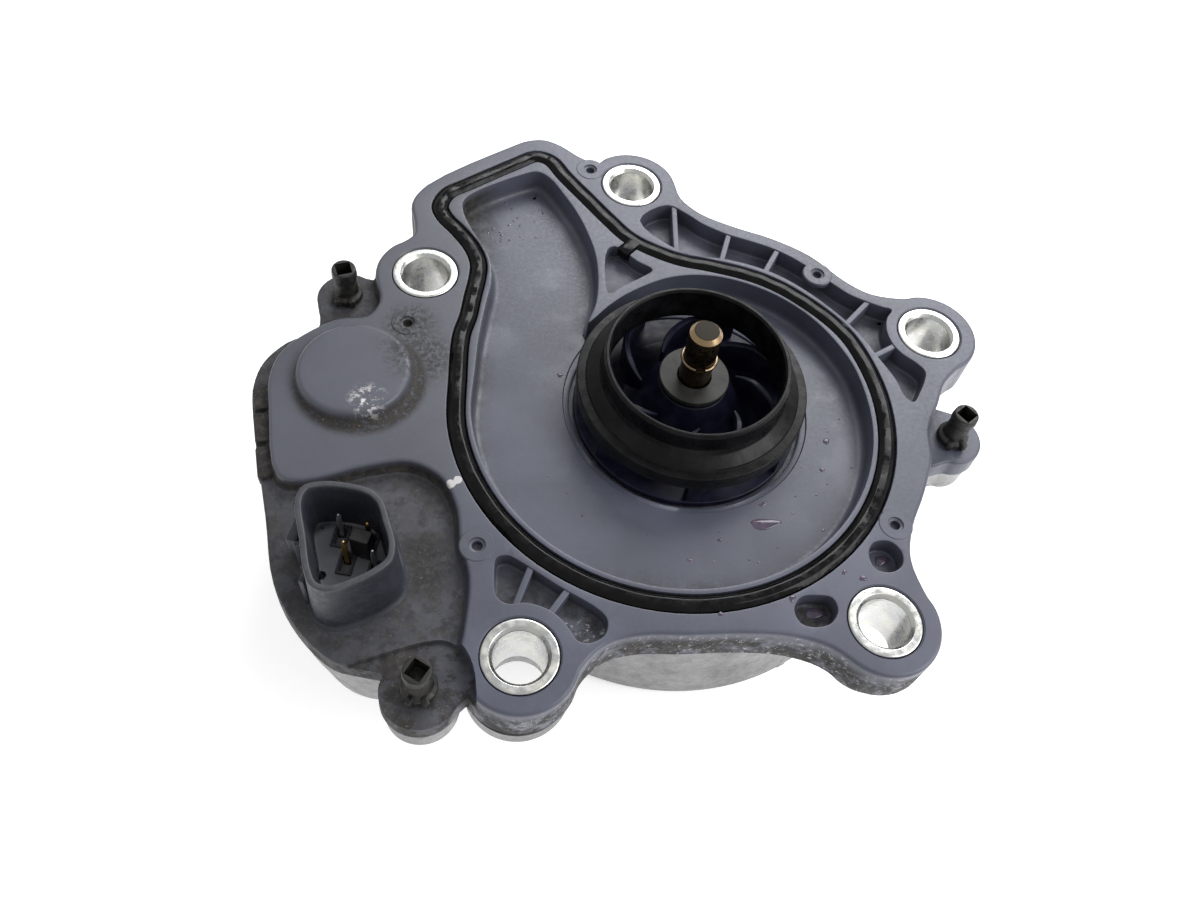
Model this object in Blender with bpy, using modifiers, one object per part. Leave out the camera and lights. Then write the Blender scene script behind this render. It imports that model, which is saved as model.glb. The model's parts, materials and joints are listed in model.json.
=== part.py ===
"""Electric coolant pump for an engine: a front housing with a volute, a wet rotor and its driver board.

Lengths are in millimetres up to the helpers, which turn them into metres. The pump's turning axis is
the Z axis. Z = 0 is the flat end of the motor can, and +Z looks out of the mounting face.
"""
import math

import bmesh
import bpy
from mathutils import Matrix, Vector

MM = 0.001
GAP = 0.3                        # between touching pieces

# ---------------------------------------------------------------- driving dimensions
FACE = 40.0                      # height of the mounting face over the motor can's end
FLANGE_DEPTH = 8.8               # housing skirt below the face
SPLIT = FACE - 7.0               # joint between housing and rear cover
LEDGE = FACE - 3.0               # floor of the connector area and of the ears
VOLUTE_FLOOR = FACE - 5.0
WELL_RADIUS = 22.8
VOLUTE_CENTRE = (-3.1, -3.3)
VOLUTE_RADIUS = 38.3
GASKET_RADIUS = 41.1
GROOVE_WIDTH = 3.5
GROOVE_DEPTH = 2.6
GASKET_WIDTH = 2.8
GASKET_PROUD = 0.6

BOLTS = ((-52.5, 25.6), (-10.3, 55.4), (50.7, 18.4), (31.4, -46.1), (-30.1, -54.6))
SLEEVE_OUTER = 6.5
SLEEVE_INNER = 4.5
SLEEVE_LENGTH = 12.0
BOSS_RADIUS = 9.9
BOSS_FOOT_RADIUS = 8.6

EARS = ((-67.5, 20.6), (51.9, -5.4), (-45.7, -59.5))
EAR_RADIUS = 6.0
EAR_FOOT = FACE - 13.0
POST_RADIUS = 2.5
POST_TOP = FACE + 5.0
POST_SOCKET = 3.0
SCREW_RADIUS = 2.0

DOME_CENTRE = (-63.0, -0.9)
DOME_RADIUS = 10.8
DOME_TOP = FACE + 2.3
SHROUD_TOP = FACE + 10.0
SHROUD_FLOOR = FACE - 1.0
SHROUD_WALL = 1.3
PINS = ((-61.2, -33.0), (-59.7, -38.0), (-56.3, -34.4), (-54.8, -39.4))
PIN_WIDTH = 0.8
PIN_TOP = FACE + 4.5

CAN_RADIUS = 46.5                # motor can of the rear cover
CAN_RIM_RADIUS = 45.5
CAN_BORE = 42.5
CAN_FLOOR = 3.0
BAY_FOOT = FACE - 24.0           # underside of the electronics bay
BAY_FLOOR = BAY_FOOT + 3.0
BAY_INNER_RADIUS = 49.0          # the bay's wall against the motor can

SHAFT_RADIUS = 3.0
SHAFT_TOP = FACE + 18.0
SHAFT_FOOT = 5.3
SNAP_RING_HEIGHT = FACE + 10.3
WASHER_TOP = FACE + 5.0
WASHER_THICK = 1.2
WASHER_RADIUS = 6.65

ROTOR_CAN_RADIUS = 15.2
ROTOR_CAN_BORE = 14.2
ROTOR_CAN_FLANGE = 27.0          # radius
CAN_FLANGE_TOP = SPLIT - GAP
CAN_FLANGE_THICK = 2.4
STACK_LOW = 9.0
STACK_HIGH = 23.0
MAGNET_RADIUS = 13.2
IMPELLER_RADIUS = 22.0
EYE_RADIUS = 16.25
RIM_TOP = FACE + 10.0
VANES = 7
VANE_THICK = 1.3
TEETH = 6

BOARD_LOW = FACE - 14.5
BOARD_THICK = 1.6
BOARD_TOP = BOARD_LOW + BOARD_THICK
BOARD_SCREWS = ((-70.2, -15.0), (-52.2, 5.2), (-51.0, -47.4))


# ---------------------------------------------------------------- outlines, all clockwise from above
def arc(centre, radius, start, end, step=20.0):
    """Points of an arc between two angles in degrees; it runs clockwise when end is below start."""
    count = max(2, round(abs(end - start) / step) + 1)
    points = []
    for i in range(count):
        angle = math.radians(start + (end - start) * i / (count - 1))
        points.append((centre[0] + radius * math.cos(angle), centre[1] + radius * math.sin(angle)))
    return points


def smooth(points, parts=2):
    """Closed centripetal Catmull-Rom curve through the points."""
    knots = [Vector(p) for p in points]
    count = len(knots)
    result = []
    for i in range(count):
        p0, p1, p2, p3 = (knots[(i + k) % count] for k in (-1, 0, 1, 2))
        t1 = (p1 - p0).length ** 0.5
        t2 = t1 + (p2 - p1).length ** 0.5
        t3 = t2 + (p3 - p2).length ** 0.5
        for j in range(parts):
            t = t1 + (t2 - t1) * j / parts
            a1 = (p0 * (t1 - t) + p1 * t) / t1
            a2 = (p1 * (t2 - t) + p2 * (t - t1)) / (t2 - t1)
            a3 = (p2 * (t3 - t) + p3 * (t - t2)) / (t3 - t2)
            b1 = (a1 * (t2 - t) + a2 * t) / t2
            b2 = (a2 * (t3 - t) + a3 * (t - t1)) / (t3 - t1)
            result.append(tuple((b1 * (t2 - t) + b2 * (t - t1)) / (t2 - t1)))
    return without_straight_points(result)


def without_straight_points(points, least=0.1):
    """Drop each point that lies nearly on the line between the last kept point and the next."""
    kept = [points[0]]
    for here, after in zip(points[1:], points[2:] + points[:1]):
        along = (Vector(after) - Vector(kept[-1])).normalized()
        step = Vector(here) - Vector(kept[-1])
        if abs(along.x * step.y - along.y * step.x) > least:
            kept.append(here)
    return kept


def offset(points, distance):
    """The closed outline moved outwards by a distance, or inwards when it is negative."""
    count = len(points)
    result = []
    for i in range(count):
        before = Vector(points[i - 1])
        here = Vector(points[i])
        after = Vector(points[(i + 1) % count])
        first = (here - before).normalized()
        second = (after - here).normalized()
        normal = Vector((-first.y - second.y, first.x + second.x)).normalized()
        stretch = max(0.5, normal.dot(Vector((-first.y, first.x))))
        result.append(tuple(here + normal * distance / stretch))
    return result


def circle(centre, radius, count=32):
    """A full circle, clockwise."""
    return arc(centre, radius, 0.0, -360.0, 360.0 / count)[:-1]


def polar(radius, angle):
    return radius * math.cos(math.radians(angle)), radius * math.sin(math.radians(angle))


def rounded_rectangle(half_x, half_y, radius):
    points = []
    for sx, sy, start in ((1, 1, 90), (1, -1, 0), (-1, -1, -90), (-1, 1, -180)):
        points += arc((sx * (half_x - radius), sy * (half_y - radius)), radius, start, start - 90, 30)
    return points


def flange_outline():
    """Edge of the mounting face: five bosses, the outlet corner and the pad round the dome."""
    b1, b2, b3, b4, b5 = BOLTS
    return smooth(
        arc(b1, BOSS_RADIUS, 200, 120)
        + [(-55.9, 36.2), (-56.2, 40), (-57.2, 45), (-54.6, 50.8), (-37.5, 64.8), (-33.6, 67.3)]
        + [(-29.8, 68), (-26, 66.5), (-21.6, 63.2)]
        + arc(b2, BOSS_RADIUS, 140, 12)
        + [(0.7, 52.6), (4.8, 48.3), (12, 45), (20, 42.3), (28, 38), (35, 31.2), (40, 28.2)]
        + arc(b3, BOSS_RADIUS, 112, -62)
        + [(51.8, 5.8), (49.4, 0.5), (46.4, -6), (45.9, -12), (43, -20), (39.5, -27.5), (38.1, -34)]
        + arc(b4, BOSS_RADIUS, 33, -122)
        + [(21.5, -51.2), (15, -49.4), (7, -49.2), (-3, -49.9), (-10, -50.2), (-16, -52), (-20, -56)]
        + arc(b5, BOSS_RADIUS, -26, -172)
        + [(-39.4, -50), (-39.3, -41), (-41.2, -35), (-42.2, -28.4), (-45.2, -22.4), (-51, -19.3)]
        + [(-58, -20.4), (-69, -24.2), (-73.4, -23.4), (-77.4, -9), (-78.5, -2), (-77.2, 4)]
        + [(-72.4, 9.4), (-67.5, 12.6), (-62.6, 13.6), (-60.7, 17.6)])


def bay_outline():
    """Edge of the electronics bay with its two ears, closed under the flange."""
    return smooth(
        arc(EARS[0], EAR_RADIUS, 205, 60)
        + [(-58, 24.3), (-50, 16), (-44, 0), (-36, -30), (-34, -48), (-36, -58)]
        + arc(EARS[2], EAR_RADIUS + 0.5, -25, -200)
        + [(-54.6, -56.6), (-60, -55.4), (-66.4, -50), (-71.4, -42.2), (-74.8, -30), (-80.6, -9.5)]
        + [(-81.8, -2.5), (-80.9, 3.2), (-77.4, 8.2), (-72.2, 11.8)])


def right_ear_outline(radius):
    """Lobe of the ear beside the third bolt."""
    return smooth(arc(EARS[1], radius, 75, -105) + [(46, -12.5), (42, -11), (42, 0), (46, 2)])


def cover_outline():
    """Upper edge of the rear cover's electronics bay, with its two ears, closed inside the motor can."""
    return smooth(
        arc(EARS[0], EAR_RADIUS - 0.3, 205, 60)
        + [(-61.8, 19.5), (-60.2, 15.6), (-55, 13.8), (-46, 12.8), (-38, 8), (-30, -12), (-31, -30)]
        + [(-37.5, -38.6), (-40.9, -44), (-41.6, -50), (-41.2, -54.6)]
        + arc(EARS[2], EAR_RADIUS + 0.2, 0, -200)
        + [(-54.2, -56.2), (-60, -54.9), (-66, -49.6), (-70.9, -42), (-74.3, -30), (-80.1, -9.4)]
        + [(-81.3, -2.5), (-80.4, 3), (-77, 7.8), (-72.2, 11.2)])


def pan_outline():
    """Lower edge of the electronics bay, without the ears."""
    return smooth(
        [(-63, 12.6), (-55, 13.2), (-46, 12.2), (-38, 8), (-30, -12), (-31, -30), (-37.5, -38.2)]
        + [(-41.2, -44), (-42.2, -50), (-45, -54.2), (-52, -55.2), (-59, -53.8), (-65, -48.8)]
        + [(-69.8, -41.6), (-73.2, -30), (-79, -9.6), (-80.2, -2.5), (-79.2, 2.4), (-76, 6.8), (-70.6, 10.6)])


def bay_hollow_outline(inset=0.0):
    """Inside of the electronics bay; its right side is the wall round the motor can."""
    points = smooth(
        arc((0, 0), BAY_INNER_RADIUS, 170, 220)
        + [(-41.4, -38.5), (-43.6, -44), (-45, -49.6), (-50, -51.8), (-58, -50.6), (-62.6, -46.6)]
        + [(-66.6, -39.6), (-69.6, -29.4), (-75.6, -9.2), (-76.8, -3), (-76, 2), (-73.4, 5.4)]
        + [(-69, 8.2), (-62, 9.8), (-53, 10.2)])
    return offset(points, -inset)


def shroud_outline():
    """Outside of the connector shroud: four rounded corners, the left side longer than the right."""
    return smooth(
        [(-63.5, -29.9), (-59.5, -30), (-55.6, -31), (-53.5, -32.9), (-52, -36.5), (-50.6, -40.6)]
        + [(-50.8, -43.6), (-53, -46), (-56.6, -48.2), (-60, -49.4), (-62.6, -48.6), (-64, -46.2)]
        + [(-65.6, -40.5), (-67.3, -33.6), (-66.4, -30.9)], 3)


def volute_outline():
    """The spiral recess and its outlet; both ends meet at the tongue."""
    return smooth(
        [(-18.8, 14.5), (-15, 19.5), (-12, 23), (-8, 26), (-3, 28.6), (2, 29.8), (7, 29.9), (12, 28.9)]
        + [(17, 27), (22, 24), (27, 19.4), (31, 13.6), (33.8, 7)]
        + arc(VOLUTE_CENTRE, VOLUTE_RADIUS, -2, -188, 15)
        + [(-40.8, 10), (-40, 18), (-39.2, 25), (-40, 31), (-43.6, 37.6), (-46, 42.8), (-46.4, 46.4)]
        + [(-44.4, 49.2), (-34.4, 55.9), (-31, 57.2), (-28.4, 55.6), (-25, 50.5), (-22, 45), (-20, 40)]
        + [(-18.4, 34.5), (-17.7, 28), (-17.8, 20)])


def groove_centreline():
    """Path of the gasket round the volute and its outlet."""
    return smooth(
        [(-31.6, 62.1), (-28.4, 61.2), (-25, 56.4), (-20, 50), (-15.2, 43.9), (-10.9, 39.1)]
        + [(-5, 35.7), (0, 33.9), (5, 33.1), (11.7, 31.7), (16.3, 30.2), (21.1, 27.7), (25, 24.8)]
        + [(28.7, 21.5), (32.4, 17.2)]
        + arc(VOLUTE_CENTRE, GASKET_RADIUS, 22, -184, 15)
        + [(-44.2, 10), (-43.2, 15), (-42.7, 20), (-42.1, 25), (-42.1, 29), (-43.5, 33), (-46.6, 37.5)]
        + [(-50, 41.5), (-51.2, 44.6), (-49.8, 48.6), (-46, 51.6), (-36, 59.2)])


def long_pocket_outline():
    """Cored pocket between the gasket groove and the outer edge, from the second to the third bolt."""
    return smooth(
        [(-8.6, 44.6), (-2.5, 49.8), (2, 47.3), (5, 44.9), (10, 42.4), (15, 40.8), (20, 39), (25, 36)]
        + [(32, 30), (35, 27.5), (38, 26), (41.6, 24.6)]
        + arc(BOLTS[2], 9.0, 142, 222)
        + [(46.6, 10.2), (48, 8.2), (47.5, 6), (46, 3), (44.4, 0.6), (43, 1.6), (41.6, 6), (39, 11)]
        + [(37, 15), (34, 19.5), (30, 24), (25, 28.5), (20, 31.8), (15, 33.8), (10, 35), (0, 36.5)])


def bolt_pocket_outline():
    """Cored pocket between the gasket groove and the fifth bolt."""
    return smooth(
        [(-35, -40), (-34.7, -37.4), (-33, -36.9), (-31.5, -37.5), (-24.4, -42), (-17, -46.5)]
        + [(-16, -48.2), (-16.6, -50.6), (-19.3, -52), (-21, -51.5)]
        + arc(BOLTS[4], 9.3, 28, 105)
        + [(-34.4, -44.4)])


# ---------------------------------------------------------------- helpers, from millimetres to metres
def clear_scene():
    for item in list(bpy.data.objects):
        bpy.data.objects.remove(item, do_unlink=True)


def new_collection(name):
    result = bpy.data.collections.new(name)
    bpy.context.scene.collection.children.link(result)
    return result


clear_scene()
parts = new_collection("coolant_pump")
cutters = new_collection("cutters")
pending = []                     # Booleans, added once every body is made


def material(name, colour, roughness, metallic=0.0):
    result = bpy.data.materials.new(name)
    result.use_nodes = True
    shader = result.node_tree.nodes["Principled BSDF"]
    shader.inputs["Base Color"].default_value = (*colour, 1.0)
    shader.inputs["Roughness"].default_value = roughness
    shader.inputs["Metallic"].default_value = metallic
    result.diffuse_color = (*colour, 1.0)
    return result


housing_plastic = material("housing_plastic", (0.135, 0.145, 0.185), 0.5)
cast_aluminium = material("cast_aluminium", (0.42, 0.42, 0.42), 0.55, 1.0)
zinc_steel = material("zinc_steel", (0.72, 0.71, 0.64), 0.3, 1.0)
black_rubber = material("black_rubber", (0.008, 0.008, 0.009), 0.25)
shroud_plastic = material("shroud_plastic", (0.022, 0.022, 0.022), 0.6)
hub_plastic = material("hub_plastic", (0.01, 0.011, 0.03), 0.15)
ground_steel = material("ground_steel", (0.45, 0.42, 0.38), 0.25, 1.0)
washer_ceramic = material("washer_ceramic", (0.22, 0.22, 0.21), 0.35)
carbon = material("carbon", (0.02, 0.02, 0.02), 0.45)
ferrite = material("ferrite", (0.05, 0.05, 0.055), 0.6)
lamination_steel = material("lamination_steel", (0.3, 0.31, 0.33), 0.45, 1.0)
copper = material("copper", (0.7, 0.3, 0.12), 0.3, 1.0)
circuit_green = material("circuit_green", (0.02, 0.14, 0.06), 0.4)
part_black = material("part_black", (0.02, 0.02, 0.022), 0.5)
capacitor_sleeve = material("capacitor_sleeve", (0.03, 0.04, 0.09), 0.35)
gold_plate = material("gold_plate", (0.83, 0.55, 0.2), 0.25, 1.0)
tin_plate = material("tin_plate", (0.7, 0.7, 0.68), 0.25, 1.0)
grease_black = material("grease_black", (0.018, 0.017, 0.015), 0.5)


def add_object(name, mesh, finish):
    """A part when it has a material, and otherwise a cutter or a body for a Boolean."""
    item = bpy.data.objects.new(name, mesh)
    if finish is None:
        cutters.objects.link(item)
        item.hide_render = True
        item.display_type = "WIRE"
    else:
        parts.objects.link(item)
        mesh.materials.append(finish)
    return item


def prism(name, outlines, low, high, finish=None):
    """A flat outline, or an outline and its hole, extruded between two heights."""
    curve = bpy.data.curves.new(name, "CURVE")
    curve.dimensions = "2D"
    curve.fill_mode = "BOTH"
    curve.extrude = (high - low) / 2 * MM
    for outline in outlines if isinstance(outlines[0], list) else [outlines]:
        spline = curve.splines.new("POLY")
        spline.points.add(len(outline) - 1)
        for point, (x, y) in zip(spline.points, outline):
            point.co = (x * MM, y * MM, 0.0, 1.0)
        spline.use_cyclic_u = True
    guide = bpy.data.objects.new(name + "_curve", curve)
    cutters.objects.link(guide)
    guide.location.z = (low + high) / 2 * MM
    bpy.context.view_layer.update()
    ready = guide.evaluated_get(bpy.context.evaluated_depsgraph_get())
    mesh = bpy.data.meshes.new_from_object(ready)
    mesh.materials.clear()
    shape = bmesh.new()
    shape.from_mesh(mesh)
    bmesh.ops.remove_doubles(shape, verts=shape.verts, dist=0.001 * MM)
    bmesh.ops.dissolve_limit(shape, angle_limit=math.radians(1), verts=[], edges=shape.edges)
    shape.to_mesh(mesh)
    shape.free()
    item = add_object(name, mesh, finish)
    item.matrix_world = guide.matrix_world
    bpy.data.objects.remove(guide)
    bpy.data.curves.remove(curve)
    return item


def turned(name, profile, finish=None, centre=(0, 0), segments=48, closed=False):
    """A profile of (radius, height) points, outer side first and downwards, turned about Z."""
    mesh = bpy.data.meshes.new(name)
    points = [(radius * MM, 0.0, height * MM) for radius, height in profile]
    edges = [(i, i + 1) for i in range(len(points) - 1)]
    if closed:
        edges.append((len(points) - 1, 0))
    mesh.from_pydata(points, edges, [])
    item = add_object(name, mesh, finish)
    item.location = (centre[0] * MM, centre[1] * MM, 0.0)
    screw = item.modifiers.new("turn", "SCREW")
    screw.steps = segments
    screw.render_steps = segments
    screw.use_merge_vertices = True
    screw.merge_threshold = 0.001 * MM
    screw.use_smooth_shade = True
    return item


def ring(name, outer, inner, low, high, finish=None, centre=(0, 0), segments=48):
    return turned(name, [(outer, high), (outer, low), (inner, low), (inner, high)],
                  finish, centre, segments, closed=True)


def disc(name, radius, low, high, finish=None, centre=(0, 0), segments=28):
    """An upright cylinder between two heights."""
    mesh = bpy.data.meshes.new(name)
    shape = bmesh.new()
    bmesh.ops.create_cone(shape, cap_ends=True, segments=segments, radius1=radius * MM, radius2=radius * MM,
                          depth=(high - low) * MM)
    shape.to_mesh(mesh)
    shape.free()
    item = add_object(name, mesh, finish)
    item.location = (centre[0] * MM, centre[1] * MM, (low + high) / 2 * MM)
    return item


def box(name, centre, size, finish=None, turn=0.0):
    """A box by its centre and size, turned about Z by an angle in degrees."""
    mesh = bpy.data.meshes.new(name)
    shape = bmesh.new()
    bmesh.ops.create_cube(shape, size=1.0)
    bmesh.ops.scale(shape, verts=shape.verts, vec=[value * MM for value in size])
    shape.to_mesh(mesh)
    shape.free()
    item = add_object(name, mesh, finish)
    item.location = [value * MM for value in centre]
    item.rotation_euler.z = math.radians(turn)
    return item


def rib(name, start, end, low, high, width=1.2):
    """A straight upright rib between two points of the plan."""
    along = Vector(end) - Vector(start)
    middle = (Vector(start) + Vector(end)) / 2
    turn = math.degrees(math.atan2(along.y, along.x))
    return box(name, (middle.x, middle.y, (low + high) / 2), (along.length, width, high - low), turn=turn)


def combine(item, operation, tools):
    """Note one Boolean of the item with a set of bodies; add_boolean makes it."""
    pending.append((item, operation, tools))


def add_boolean(item, operation, tools):
    group = bpy.data.collections.new(item.name + "_" + operation.lower())
    cutters.children.link(group)
    for tool in tools:
        group.objects.link(tool)
        cutters.objects.unlink(tool)
    boolean = item.modifiers.new(operation.lower(), "BOOLEAN")
    boolean.operation = operation
    boolean.solver = "EXACT"
    boolean.operand_type = "COLLECTION"
    boolean.collection = group


def empty(name):
    item = bpy.data.objects.new(name, None)
    parts.objects.link(item)
    return item


# ---------------------------------------------------------------- front housing
def front_housing():
    housing = prism("front_housing", flange_outline(), FACE - FLANGE_DEPTH, FACE, housing_plastic)
    solids = [prism("bay_plate", bay_outline(), SPLIT, LEDGE),
              prism("right_ear_plate", right_ear_outline(EAR_RADIUS), SPLIT, LEDGE),
              turned("dome",
                     [(0, DOME_TOP), (DOME_RADIUS - 1.5, DOME_TOP), (DOME_RADIUS - 0.6, DOME_TOP - 0.5),
                      (DOME_RADIUS, FACE - 1), (0, FACE - 1)], centre=DOME_CENTRE, segments=32),
              prism("shroud", shroud_outline(), SPLIT + 2, SHROUD_TOP)]
    for number, bolt in enumerate(BOLTS, 1):
        solids.append(disc(f"boss_foot_{number}", BOSS_FOOT_RADIUS, FACE - SLEEVE_LENGTH, FACE - 6,
                           centre=bolt))
    combine(housing, "UNION", solids)

    cuts = [prism("cover_recess", offset(cover_outline(), 0.4), 0, SPLIT - 0.04),
            disc("can_recess", CAN_RIM_RADIUS + 0.4, 0, SPLIT - 0.08, segments=64),
            prism("right_ear_recess", offset(right_ear_outline(EAR_RADIUS - 0.3), 0.4), 0, SPLIT - 0.06),
            prism("volute", volute_outline(), VOLUTE_FLOOR, FACE + 2),
            disc("well", WELL_RADIUS, 0, FACE, segments=64),
            prism("groove", [offset(groove_centreline(), GROOVE_WIDTH / 2),
                             offset(groove_centreline(), -GROOVE_WIDTH / 2)], FACE - GROOVE_DEPTH, FACE + 2),
            prism("long_pocket", long_pocket_outline(), FACE - 4, FACE + 2),
            prism("bolt_pocket", bolt_pocket_outline(), FACE - 3, FACE + 2),
            prism("drain_pocket_1", smooth(circle((33.3, -33.7), 2.8, 8)), FACE - 3, FACE + 2),
            prism("drain_pocket_2", smooth(circle((19.6, -44.7), 2.9, 8)), FACE - 3, FACE + 2),
            prism("tongue_pocket", smooth([(-15.6, 35.4), (-14, 36.4), (-9.4, 32.6), (-6.4, 30), (-8.4, 28),
                                           (-12.4, 25.4), (-15.4, 23), (-16, 26)]), FACE - 3, FACE + 2),
            disc("dome_hollow", DOME_RADIUS - 1.5, 20, DOME_TOP - 1.7, centre=DOME_CENTRE),
            prism("socket", offset(shroud_outline(), -SHROUD_WALL), SHROUD_FLOOR, SHROUD_TOP + 2)]
    for number, bolt in enumerate(BOLTS, 1):
        cuts.append(disc(f"sleeve_hole_{number}", SLEEVE_OUTER + GAP, 0, FACE + 2, centre=bolt))
    for number, ear in enumerate(EARS, 1):
        cuts.append(disc(f"post_hole_{number}", SCREW_RADIUS + GAP, 0, FACE, centre=ear, segments=20))
    for number, (x, y) in enumerate(PINS, 1):
        cuts.append(box(f"pin_slot_{number}", (x, y, SPLIT), (PIN_WIDTH + 0.6, PIN_WIDTH + 0.6, 20)))
    combine(housing, "DIFFERENCE", cuts)

    top = FACE - 0.3
    ribs = [((-1, 50), (-1, 36)), ((10.8, 42.8), (8.5, 34.6)), ((21.2, 39), (17.8, 32.6)),
            ((39, 26), (33, 19)), ((42.6, 14.5), (38, 11.5))]
    walls = [rib(f"long_pocket_rib_{i}", a, b, FACE - 5, top) for i, (a, b) in enumerate(ribs, 1)]
    for i, (a, b) in enumerate([((-28.9, -38.8), (-31.3, -46)), ((-22.8, -42.8), (-25.6, -47.2))], 1):
        walls.append(rib(f"bolt_pocket_rib_{i}", a, b, FACE - 4, top))
    walls.append(box("coding_block", (-57.1, -36.6, FACE + 0.8), (2.6, 1.8, 4.4), turn=-16))
    combine(housing, "UNION", walls)
    return housing


# ---------------------------------------------------------------- rear cover
def rear_cover():
    rim = SPLIT - GAP
    above = rim + 2
    cover = turned("rear_cover",
                   [(0, above), (CAN_RIM_RADIUS, above), (CAN_RIM_RADIUS, 26.4), (CAN_RADIUS, 25.8),
                    (CAN_RADIUS, 2), (CAN_RADIUS - 2, 0), (0, 0)], cast_aluminium, segments=72)
    solids = [prism("bay_rim", cover_outline(), EAR_FOOT, above + 1),
              prism("bay_pan", pan_outline(), BAY_FOOT, EAR_FOOT + 1),
              prism("right_ear_lug", right_ear_outline(EAR_RADIUS - 0.3), EAR_FOOT, above + 2),
              prism("bolt_lug", smooth(arc(BOLTS[4], 9.2, 10, -190) + [(-36, -44), (-30, -36), (-20, -40)]),
                    FACE - 16, FACE - SLEEVE_LENGTH - GAP - 0.1)]
    combine(cover, "UNION", solids)

    cuts = [disc("can_bore", CAN_BORE, CAN_FLOOR, FACE, segments=72),
            prism("bay_hollow", bay_hollow_outline(), BAY_FLOOR, FACE),
            prism("bolt_lug_hole", circle(BOLTS[4], 5.2), 0, FACE),
            box("lead_window", (-46, 0, 26), (10, 10, 8)),
            box("rim_trim", (0, 0, rim + 10), (300, 300, 20))]
    for number, bolt in enumerate(BOLTS, 1):
        cuts.append(disc(f"boss_clearance_{number}", BOSS_FOOT_RADIUS + GAP, FACE - SLEEVE_LENGTH - GAP, FACE,
                         centre=bolt))
    for number, ear in enumerate(EARS, 1):
        cuts.append(disc(f"screw_hole_{number}", SCREW_RADIUS + GAP, EAR_FOOT - 5, FACE,
                         centre=ear, segments=20))
    combine(cover, "DIFFERENCE", cuts)

    studs = [disc(f"board_stud_{number}", 3.0, BAY_FLOOR - 1, BOARD_LOW - GAP, centre=place, segments=20)
             for number, place in enumerate(BOARD_SCREWS, 1)]
    combine(cover, "UNION", studs)
    holes = [disc(f"stud_hole_{number}", 1.3, BAY_FLOOR + 1.5, FACE, centre=place, segments=16)
             for number, place in enumerate(BOARD_SCREWS, 1)]
    combine(cover, "DIFFERENCE", holes)
    return cover


# ---------------------------------------------------------------- fasteners and seals
def bolt_sleeves():
    chamfer = 0.5
    low = FACE - SLEEVE_LENGTH
    profile = [(SLEEVE_OUTER - chamfer, FACE), (SLEEVE_OUTER, FACE - chamfer), (SLEEVE_OUTER, low),
               (SLEEVE_INNER, low), (SLEEVE_INNER, FACE - chamfer), (SLEEVE_INNER + chamfer, FACE)]
    return [turned(f"bolt_sleeve_{number}", profile, zinc_steel, bolt, 28, closed=True)
            for number, bolt in enumerate(BOLTS, 1)]


def cover_screws():
    """Tall posts with a square socket; a shank goes through each ear into the rear cover."""
    screws = []
    seat = LEDGE + GAP
    for number, ear in enumerate(EARS, 1):
        post = turned(f"cover_screw_{number}",
                      [(0, POST_TOP), (POST_RADIUS, POST_TOP), (POST_RADIUS, seat + 1.5), (3.0, seat + 1.0),
                       (3.0, seat), (SCREW_RADIUS, seat), (SCREW_RADIUS, EAR_FOOT + 1), (0, EAR_FOOT + 1)],
                      grease_black, ear, 24)
        socket = box(f"post_socket_{number}", (*ear, POST_TOP), (POST_SOCKET, POST_SOCKET, 8))
        combine(post, "DIFFERENCE", [socket])
        screws.append(post)
    return screws


def gaskets():
    middle = groove_centreline()
    outer = offset(middle, GASKET_WIDTH / 2)
    inner = offset(middle, -GASKET_WIDTH / 2)
    gasket = prism("volute_gasket", [outer, inner], FACE - GROOVE_DEPTH + GAP, FACE + GASKET_PROUD,
                   black_rubber)
    o_ring = turned("can_o_ring", [(24.5 + 0.9 * math.cos(a), CAN_FLANGE_TOP - 0.7 + 0.9 * math.sin(a))
                                   for a in (math.radians(-60 * k) for k in range(6))],
                    black_rubber, segments=40, closed=True)
    return [gasket, o_ring]


# ---------------------------------------------------------------- wet side: can, shaft and rotor
def rotor_can():
    """Cup between the coolant and the stator; its flange holds the O-ring under the housing."""
    top = CAN_FLANGE_TOP
    floor = 3.6
    bore = SHAFT_RADIUS + 0.2
    return turned("rotor_can",
                  [(0, SHAFT_FOOT - GAP), (bore, SHAFT_FOOT - GAP), (bore, 7.2), (WASHER_RADIUS, 7.2),
                   (WASHER_RADIUS, 5.2), (ROTOR_CAN_BORE, 5.2), (ROTOR_CAN_BORE, top), (23.3, top),
                   (23.3, top - 1.8), (25.7, top - 1.8), (25.7, top), (ROTOR_CAN_FLANGE, top),
                   (ROTOR_CAN_FLANGE, top - CAN_FLANGE_THICK), (ROTOR_CAN_RADIUS, top - CAN_FLANGE_THICK),
                   (ROTOR_CAN_RADIUS, floor), (0, floor)], housing_plastic, segments=36)


def shaft():
    groove = SHAFT_RADIUS - 0.5
    return turned("shaft",
                  [(0, SHAFT_TOP), (SHAFT_RADIUS - 0.8, SHAFT_TOP), (SHAFT_RADIUS, SHAFT_TOP - 0.9),
                   (SHAFT_RADIUS, SNAP_RING_HEIGHT + 0.6), (groove, SNAP_RING_HEIGHT + 0.6),
                   (groove, SNAP_RING_HEIGHT - 0.6), (SHAFT_RADIUS, SNAP_RING_HEIGHT - 0.6),
                   (SHAFT_RADIUS, SHAFT_FOOT + 0.5), (SHAFT_RADIUS - 0.5, SHAFT_FOOT), (0, SHAFT_FOOT)],
                  ground_steel, segments=24)


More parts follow.
